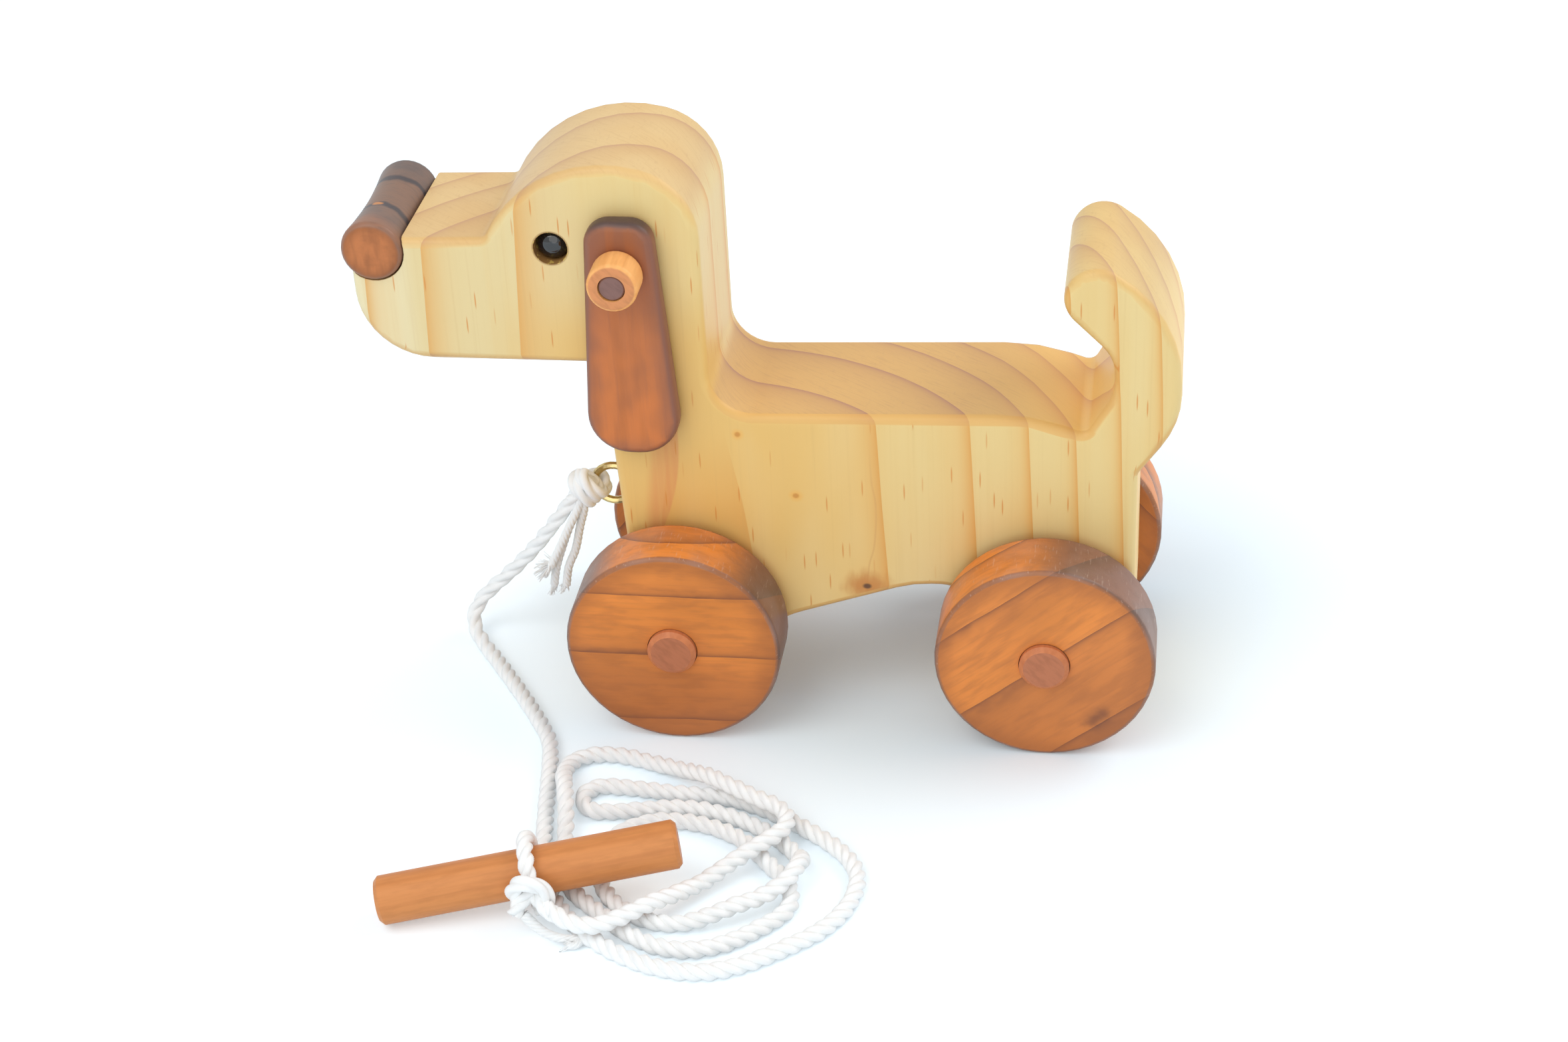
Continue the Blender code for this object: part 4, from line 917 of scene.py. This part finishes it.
def nose_look():
    """A dark dowel cut across the grain: wavy blue-black rings round its barrel, and brown ends."""
    low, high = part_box("nose")
    look = Look("nose_wood", Roughness=0.42, Specular_IOR_Level=0.35)
    here = look.place((low + high) / 2)
    share = look.waved(look.times(look.parts(here)[1], 1 / (high.y - low.y)), here, NOSE_WAVE)
    fibre = look.fibre(here, NOSE_FIBRE)
    barrel = Coat(look, look.mix(look.between(share, *NOSE_FAR), NOSE_BROWN, NOSE_DARK))
    for band in NOSE_BANDS:
        barrel.shade(share, *band)
    barrel.patch(here, *NOSE_MOTTLE)
    barrel.shade(fibre, *NOSE_FIBRES)
    for middle in NOSE_RINGS:
        barrel.shade(look.size(look.less(share, middle)), *NOSE_RING)
    speck = look.vector("MULTIPLY", look.vector("SUBTRACT", here, SPECK_PLACE), SPECK_STRETCH)
    barrel.shade(look.waved(look.length(speck), here, SPECK_WAVE), *SPECK)
    cut = Coat(look, NOSE_END)
    for patch in NOSE_END_PATCHES:
        cut.patch(here, *patch)
    cut.shade(far_from(look, here, 1), *NOSE_END_RIM)
    facing = look.between(look.size(look.parts(look.coordinate("Normal"))[1]), *NOSE_END_SLOPE)
    return look.finished(look.mix(facing, barrel.colour, cut.colour), fibre, PINE_BUMP)


def cotton():
    """Soft white cotton: fine yarns along the strands, with painted shade making it a little greyer and
    yellower between them.
    """
    look = Look("white_cotton", Roughness=0.95, Sheen_Weight=0.6, Sheen_Roughness=0.5)
    u, v, _ = look.parts(look.coordinate("UV"))
    yarn = look.fibre(look.joined(u, v, 0.0), YARN)
    groove_shade = look.size(look.less(look.math("FRACT", look.times(u, float(STRANDS))), 0.5))
    here = look.place()
    cloth = Coat(look, look.mix(look.between(yarn, *YARN_EDGES), YARN_GREY, YARN_WHITE))
    # Painted shade: the cotton is greyer and yellower in the groove between strands.
    cloth.shade(groove_shade, *GROOVE_SHADE).patch(here, *COTTON_PATCH)
    bumps = look.total(yarn, look.times(look.noise(here, FLUFF), FINE_BUMP))
    return look.finished(cloth.colour, bumps, COTTON_BUMP)


def brass():
    """Antique brass: bright where it is rubbed, brown with tarnish where it meets the chest."""
    look = Look("antique_brass", Metallic=1.0)
    here = look.place((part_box("screw_eye")[0].x, 0.0, 0.0))
    tarnish = look.noise(here, *TARNISH)
    deep = look.between(look.parts(here)[0], *TARNISH_DEPTH)
    deep = look.times(deep, look.between(tarnish, *DEEP_TARNISH_EDGES))
    dull = look.larger(look.between(tarnish, *TARNISH_EDGES), deep)
    look.put("Roughness", look.total(BRASS_ROUGHNESS, look.times(dull, TARNISH_ROUGHNESS)))
    metal = Coat(look, BRASS_COLOUR).tint(dull, *TARNISH_TINT)
    return look.finished(metal.colour, tarnish, BRASS_BUMP, BRASS_BUMP_STRENGTH)


def gloss_black():
    look = Look("gloss_black", Roughness=0.06, Coat_Weight=0.5)
    look.put("Base Color", Coat(look, EYE_BLACK).patch(look.place(), *EYE_DUST).colour)
    return look.material


def dress(name, material):
    """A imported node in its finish: facets joined, shaded round across soft edges and flat on its faces."""
    obj = NODES[name]
    mesh = obj.data
    mesh.materials.clear()
    mesh.materials.append(material)
    if "custom_normal" in mesh.attributes:
        mesh.attributes.remove(mesh.attributes["custom_normal"])
    mesh.shade_smooth()
    weld = obj.modifiers.new("weld", "WELD")
    weld.merge_threshold = WELD_GAP
    split = obj.modifiers.new("split", "EDGE_SPLIT")
    split.split_angle = math.radians(WOOD_SHARP)
    obj.modifiers.new("normals", "WEIGHTED_NORMAL")


class Shape:
    """Points, faces and UVs gathered from several sweeps, then made into one object."""

    def __init__(self):
        self.points = []
        self.faces = []
        self.uvs = []

    def sweep(self, line, radius, lobes=1, lay=CORD_LAY, tips=(1.0, 1.0), taut=0.0):
        """A laid cord along a line: a lobe for each strand, turning right-handed once in each lay.

        Over its first stretch it may be taut, thinner there and with a longer lay.
        """
        count = lobes * LOBE_STEPS if lobes > 1 else FIBRE_STEPS
        first = len(self.points)
        last = len(line) - 1
        run = 0.0
        twist = 0.0
        side = line[1] - line[0]
        side = side.normalized().orthogonal().normalized()
        runs = []
        for i, point in enumerate(line):
            before, after = line[max(i - 1, 0)], line[min(i + 1, last)]
            tangent = (after - before).normalized()
            side = (side - tangent * side.dot(tangent)).normalized()
            other = tangent.cross(side)
            slack = min(max((run - taut) / TAUT_EASE, 0.0), 1.0) if taut else 1.0
            if i:
                step = (point - line[i - 1]).length
                run += step
                twist += 2 * math.pi * step / (lay * (TAUT_LAY + (1 - TAUT_LAY) * slack))
            runs.append(run)
            share = i / last
            scale = radius * (tips[0] + (tips[1] - tips[0]) * share)
            if taut:
                scale *= TAUT_SWELL + (CORD_SWELL - TAUT_SWELL) * slack
                scale *= 1 + sum(height * math.sin(pace * run) for height, pace in CORD_WOBBLE)
            for j in range(count):
                angle = 2 * math.pi * j / count
                reach = scale * lobe_reach(angle, lobes)
                turn = angle + twist
                self.points.append(point + reach * (side * math.cos(turn) + other * math.sin(turn)))
        width = lobes / (STRANDS * count)
        for i in range(last):
            low, high = first + i * count, first + (i + 1) * count
            v0, v1 = runs[i] * UV_PACE, runs[i + 1] * UV_PACE
            for j in range(count):
                k = (j + 1) % count
                self.faces.append((low + j, low + k, high + k, high + j))
                u0, u1 = j * width, (j + 1) * width
                self.uvs.append(((u0, v0), (u1, v0), (u1, v1), (u0, v1)))
        for ring, v in ((first, runs[0]), (first + last * count, runs[-1])):
            face = list(range(ring, ring + count))
            self.faces.append(tuple(reversed(face)) if ring == first else tuple(face))
            self.uvs.append(tuple((j * width, v * UV_PACE) for j in range(count)))

    def tuft(self, root, direction, count, length, spread, rng):
        """The unlaid fibres of a cut end."""
        for _ in range(count):
            lean = Vector((rng.uniform(-1, 1), rng.uniform(-1, 1), rng.uniform(-1, 1)))
            heading = (direction + spread * lean).normalized()
            aside = STRAND_RADIUS * FIBRE_ROOT * Vector((lean.y, lean.z, lean.x))
            start = root + aside - direction * FIBRE_SINK
            reach = length * rng.uniform(*FIBRE_LENGTHS)
            bend = lean.cross(heading) * reach * FIBRE_BEND
            half_way = start + heading * reach / 2 + bend * HALF_BEND
            line = smooth([start, half_way, start + heading * reach + bend], reach / FIBRE_PARTS)
            self.sweep(line, FIBRE_RADIUS, tips=FIBRE_TIPS)

    def object(self, name, material, body, replaced=()):
        mesh = bpy.data.meshes.new(name)
        points = [(x, y, max(z, CORD_FLOOR_GAP)) for x, y, z in self.points]
        mesh.from_pydata(points, [], self.faces)
        layer = mesh.uv_layers.new(name="along")
        flat = [coordinate for face in self.uvs for uv in face for coordinate in uv]
        layer.data.foreach_set("uv", flat)
        mesh.materials.append(material)
        mesh.shade_smooth()
        mesh.set_sharp_from_angle(angle=math.radians(CORD_SHARP))
        obj = bpy.data.objects.new(name, mesh)
        bpy.context.scene.collection.objects.link(obj)
        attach(obj, body)
        if replaced:
            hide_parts(*replaced)
        return obj


def lobe_reach(angle, lobes):
    """How far the outside of touching strands lies from the cord's middle, as a share of its radius."""
    if lobes == 1:
        return 1.0
    sector = 2 * math.pi / lobes
    offset = (angle % sector) - sector / 2
    middle = 1 - LOBE_SHARE
    return middle * math.cos(offset) + math.sqrt(LOBE_SHARE**2 - (middle * math.sin(offset)) ** 2)


def smooth(points, step):
    """Points at even steps along a smooth curve through the given ones."""
    ends = [2 * points[0] - points[1], *points, 2 * points[-1] - points[-2]]
    fine = []
    for i in range(1, len(ends) - 2):
        p0, p1, p2, p3 = ends[i - 1 : i + 3]
        for part in range(ROUTE_PARTS):
            t = part / ROUTE_PARTS
            a = 2 * p1 + (p2 - p0) * t
            b = (2 * p0 - 5 * p1 + 4 * p2 - p3) * t**2
            c = (3 * p1 - p0 - 3 * p2 + p3) * t**3
            fine.append((a + b + c) / 2)
    fine.append(points[-1])
    return evenly(fine, step)


def evenly(points, step):
    """The same line with a point at every step, ends kept."""
    lengths = [0.0]
    for a, b in zip(points, points[1:]):
        lengths.append(lengths[-1] + (b - a).length)
    count = max(2, round(lengths[-1] / step))
    result = []
    k = 0
    for i in range(count + 1):
        target = lengths[-1] * i / count
        while k < len(points) - 2 and lengths[k + 1] < target:
            k += 1
        share = (target - lengths[k]) / (lengths[k + 1] - lengths[k])
        result.append(points[k].lerp(points[k + 1], min(share, 1)))
    return result


def from_axle(points):
    return [UNDER_AXLE + Vector(point) for point in points]


def heading_direction(heading):
    return Vector((math.cos(math.radians(heading)), math.sin(math.radians(heading)), 0))


def coil_line():
    """The coil's middle line: each stretch turns evenly from one row's heading to the next one's."""
    layer = CORD_DIAMETER + CORD_PILE_GAP
    floor = CORD_DIAMETER / 2 + CORD_FLOOR_GAP
    line = []
    for (x0, y0, layers0, heading0), (x1, y1, layers1, heading1) in zip(COIL_TURNS, COIL_TURNS[1:]):
        start = UNDER_AXLE + Vector((x0, y0, floor + layers0 * layer))
        end = UNDER_AXLE + Vector((x1, y1, floor + layers1 * layer))
        turn = abs((heading1 - heading0 + 180) % 360 - 180)
        reach = (end - start).length / (3 * math.cos(math.radians(turn / 4)) ** 2)
        first = start + reach * heading_direction(heading0)
        second = end - reach * heading_direction(heading1)
        for part in range(COIL_PARTS):
            t = part / COIL_PARTS
            near, far = start.lerp(first, t), second.lerp(end, t)
            middle = first.lerp(second, t)
            line.append(near.lerp(middle, t).lerp(middle.lerp(far, t), t))
    return line + [end]


def make_cord(material):
    """The whole cord in one piece, from the knot at the ring to the knot at the handle."""
    lead = smooth(from_axle(LEAD_ROUTE), CORD_STEP)
    end = smooth(from_axle(END_ROUTE), CORD_STEP)
    line = evenly(lead[:-1] + coil_line()[:-1] + end, CORD_STEP)
    shape = Shape()
    shape.sweep(line, CORD_DIAMETER / 2, STRANDS, taut=TAUT_LENGTH)
    obj = shape.object("pull_cord", material, "dog", ("cord_lead", "cord_coil", "cord_end"))
    return obj, line


def tip_heading(line, steps=TIP_STEPS):
    return (line[-1] - line[-1 - steps]).normalized()


def make_ring_knot(material):
    """The turns about the lead, the loop round the ring's wire, and the three unlaid strands."""
    shape = Shape()
    middle = UNDER_AXLE + Vector(RING_KNOT)
    axis = Vector(RING_KNOT_AXIS).normalized()
    front = Vector((0, -1, 0))
    front = (front - axis * front.dot(axis)).normalized()
    over = axis.cross(front)
    over = over if over.z > 0 else -over
    turns = []
    steps = round(RING_KNOT_TURNS * RING_KNOT_STEPS)
    for i in range(steps + 1):
        turn = 2 * math.pi * RING_KNOT_TURNS * i / steps
        shift = RING_KNOT_PITCH * (RING_KNOT_TURNS / 2 - turn / (2 * math.pi))
        spoke = RING_KNOT_COIL[0] * math.cos(turn) * over + RING_KNOT_COIL[1] * math.sin(turn) * front
        turns.append(middle + axis * shift + spoke)
    shape.sweep(evenly(turns, CORD_STEP), KNOT_CORD_RADIUS, STRANDS, KNOT_LAY)
    shape.sweep(smooth(from_axle(RING_LOOP), CORD_STEP), KNOT_CORD_RADIUS, STRANDS, KNOT_LAY)
    core = [*from_axle(LEAD_ROUTE[1::-1]), middle, middle + axis * RING_KNOT_CORE]
    shape.sweep(smooth(core, CORD_STEP)[CORE_SKIP:], KNOT_CORD_RADIUS, STRANDS)
    rng = random.Random(RING_SEED)
    for tail, (count, length, spread, lean) in zip(RING_TAILS, RING_TUFTS):
        line = smooth(from_axle(tail), CORD_STEP)
        shape.sweep(line, STRAND_RADIUS, STRAND_LOBES, STRAND_LAY)
        heading = (tip_heading(line) + Vector(lean)).normalized()
        shape.tuft(line[-1], heading, count, length, spread, rng)
    return shape.object("ring_knot_cord", material, "dog", ("ring_knot",))


def handle_frame():
    turn = Matrix.Rotation(math.radians(HANDLE_TURN - 90), 4, "Z")
    tilt = Matrix.Rotation(math.radians(HANDLE_TILT), 4, "X")
    return Matrix.Translation(UNDER_AXLE + Vector(HANDLE_CENTRE)) @ turn @ tilt


def make_handle_knot(material):
    """The turn round the dowel, the half hitch that holds it, its cut end and one unlaid strand."""
    shape = Shape()
    place = handle_frame()
    reach = HANDLE_RADIUS + WRAP_GAP + KNOT_CORD_RADIUS
    wrap = []
    for i in range(WRAP_STEPS + 1):
        angle = math.radians(WRAP_START + WRAP_TURN * i / WRAP_STEPS)
        along = WRAP_DRIFT[0] + (WRAP_DRIFT[1] - WRAP_DRIFT[0]) * i / WRAP_STEPS
        wrap.append(place @ Vector((reach * math.cos(angle), along, reach * math.sin(angle))))
    line = smooth(wrap + [place @ Vector(point) for point in HANDLE_BAND_END], CORD_STEP)
    shape.sweep(line, KNOT_CORD_RADIUS, STRANDS)
    rng = random.Random(HANDLE_SEED)
    shape.tuft(line[-1], tip_heading(line, HANDLE_TIP_STEPS), *HANDLE_CUT_TUFT, rng)
    arch = smooth([place @ Vector(point) for point in HANDLE_ARCH], CORD_STEP)
    shape.sweep(arch, KNOT_CORD_RADIUS, STRANDS, KNOT_LAY)
    core = [*from_axle(END_ROUTE[-2:]), place @ Vector(HANDLE_CORE_END)]
    shape.sweep(smooth(core, CORD_STEP)[CORE_SKIP:], KNOT_CORD_RADIUS, STRANDS)
    tail = smooth(from_axle(HANDLE_TAIL), CORD_STEP)
    shape.sweep(tail, STRAND_RADIUS, STRAND_LOBES, STRAND_LAY, HANDLE_TAIL_TIPS)
    shape.tuft(tail[-1], tip_heading(tail), *HANDLE_TAIL_TUFT, rng)
    return shape.object("handle_knot_cord", material, "dog", ("handle_knot",))


def seen_rays(nodes):
    """1 for rays that the camera sees directly or in a mirror, 0 for those that only light."""
    path = nodes.add("LightPath", {}).outputs
    result = path["Is Camera Ray"]
    for name in ("Is Glossy Ray", "Is Transmission Ray"):
        result = nodes.larger(result, path[name])
    return result


def make_stage():
    """A wide pale floor, lifted towards white away from the toy as the photo's overexposed one is."""
    mesh = bpy.data.meshes.new("floor")
    half = FLOOR_SIZE / 2
    corners = [(-half, -half, 0), (half, -half, 0), (half, half, 0), (-half, half, 0)]
    mesh.from_pydata(corners, [], [(0, 1, 2, 3)])
    floor = bpy.data.objects.new("floor", mesh)
    bpy.context.scene.collection.objects.link(floor)
    material = bpy.data.materials.new("pale_floor")
    material.use_nodes = True
    material.node_tree.nodes.clear()
    nodes = Nodes(material.node_tree)
    away = nodes.length(nodes.place(LIFT_CENTRE))
    lifts = nodes.total(*(nodes.between(away, *lift) for lift in FLOOR_LIFTS))
    glow = {"Color": SKY_COLOUR, "Strength": nodes.times(seen_rays(nodes), lifts)}
    diffuse = nodes.add("BsdfDiffuse", {"Color": FLOOR_COLOUR}).outputs[0]
    both = nodes.add("AddShader", {0: diffuse, 1: nodes.add("Emission", glow).outputs[0]})
    nodes.add("OutputMaterial", {"Surface": both.outputs[0]})
    mesh.materials.append(material)


def make_world():
    world = bpy.data.worlds.new("studio")
    bpy.context.scene.world = world
    world.use_nodes = True
    nodes = Nodes(world.node_tree)
    colour = nodes.mix(seen_rays(nodes), SKY_LIGHT, SKY_COLOUR)
    nodes.feed(world.node_tree.nodes["Background"].inputs["Color"], colour)


def make_light(name, place, target, size, power):
    light = bpy.data.lights.new(name, "AREA")
    light.shape = "DISK"
    light.size = size
    light.energy = power
    light.color = LAMP_COLOUR
    obj = bpy.data.objects.new(name, light)
    obj.location = place
    obj.rotation_euler = (Vector(target) - Vector(place)).to_track_quat("-Z", "Y").to_euler()
    bpy.context.scene.collection.objects.link(obj)


def make_camera():
    pitch, yaw, roll = (math.radians(angle) for angle in (CAMERA_PITCH, CAMERA_YAW, CAMERA_ROLL))
    ahead = Vector((-math.sin(yaw) * math.cos(pitch), math.cos(yaw) * math.cos(pitch), -math.sin(pitch)))
    level = Vector((math.cos(yaw), math.sin(yaw), 0))
    upward = level.cross(ahead)
    right = level * math.cos(roll) + upward * math.sin(roll)
    up = upward * math.cos(roll) - level * math.sin(roll)
    data = bpy.data.cameras.new("camera")
    data.sensor_width = SENSOR_WIDTH
    data.lens = SENSOR_WIDTH * FOCAL_PIXELS / IMAGE_WIDTH
    data.clip_start = CLIP_START
    camera = bpy.data.objects.new("camera", data)
    place = Matrix((right, up, -ahead)).transposed().to_4x4()
    place.translation = UNDER_AXLE + Vector(CAMERA_PLACE)
    camera.matrix_world = place
    bpy.context.scene.collection.objects.link(camera)
    bpy.context.scene.camera = camera


def dress_wood():
    dress("body", pine())
    for name in WHEEL_RINGS:
        dress(name, wheel_look(name, FRONT_AXLE if "front" in name else REAR_AXLE))
    across = (0.0, 1.0, 0.0)
    for name, centre in (("axle_front", FRONT_AXLE), ("axle_rear", REAR_AXLE)):
        dress(name, dowel_look(name + "_wood", across, centre, *AXLE_COLOURS))
    for name in ("ear_left", "ear_right"):
        dress(name, ear_look(name))
    for name in ("ear_cap_left", "ear_cap_right"):
        dress(name, dowel_look(name + "_wood", across, EAR_PIVOT, *CAP_COLOURS))
    dress("ear_pin", dowel_look("ear_pin_wood", across, EAR_PIVOT, *PIN_COLOURS))
    dress("nose", nose_look())
    handle_axis = handle_frame().to_3x3() @ Vector(across)
    handle_centre = UNDER_AXLE + Vector(HANDLE_CENTRE)
    dress("handle", dowel_look("handle_wood", handle_axis, handle_centre, *HANDLE_COLOURS))


def main():
    make_camera()
    make_world()
    make_stage()
    for name, lamp in LAMPS.items():
        make_light(name, *lamp)
    white = cotton()
    cord, line = make_cord(white)
    ring_knot = make_ring_knot(white)
    handle_knot = make_handle_knot(white)
    dress_wood()
    dress("screw_eye", brass())
    black = gloss_black()
    dress("eye_left", black)
    dress("eye_right", black)
    bpy.context.scene.view_settings.view_transform = "Standard"


main()
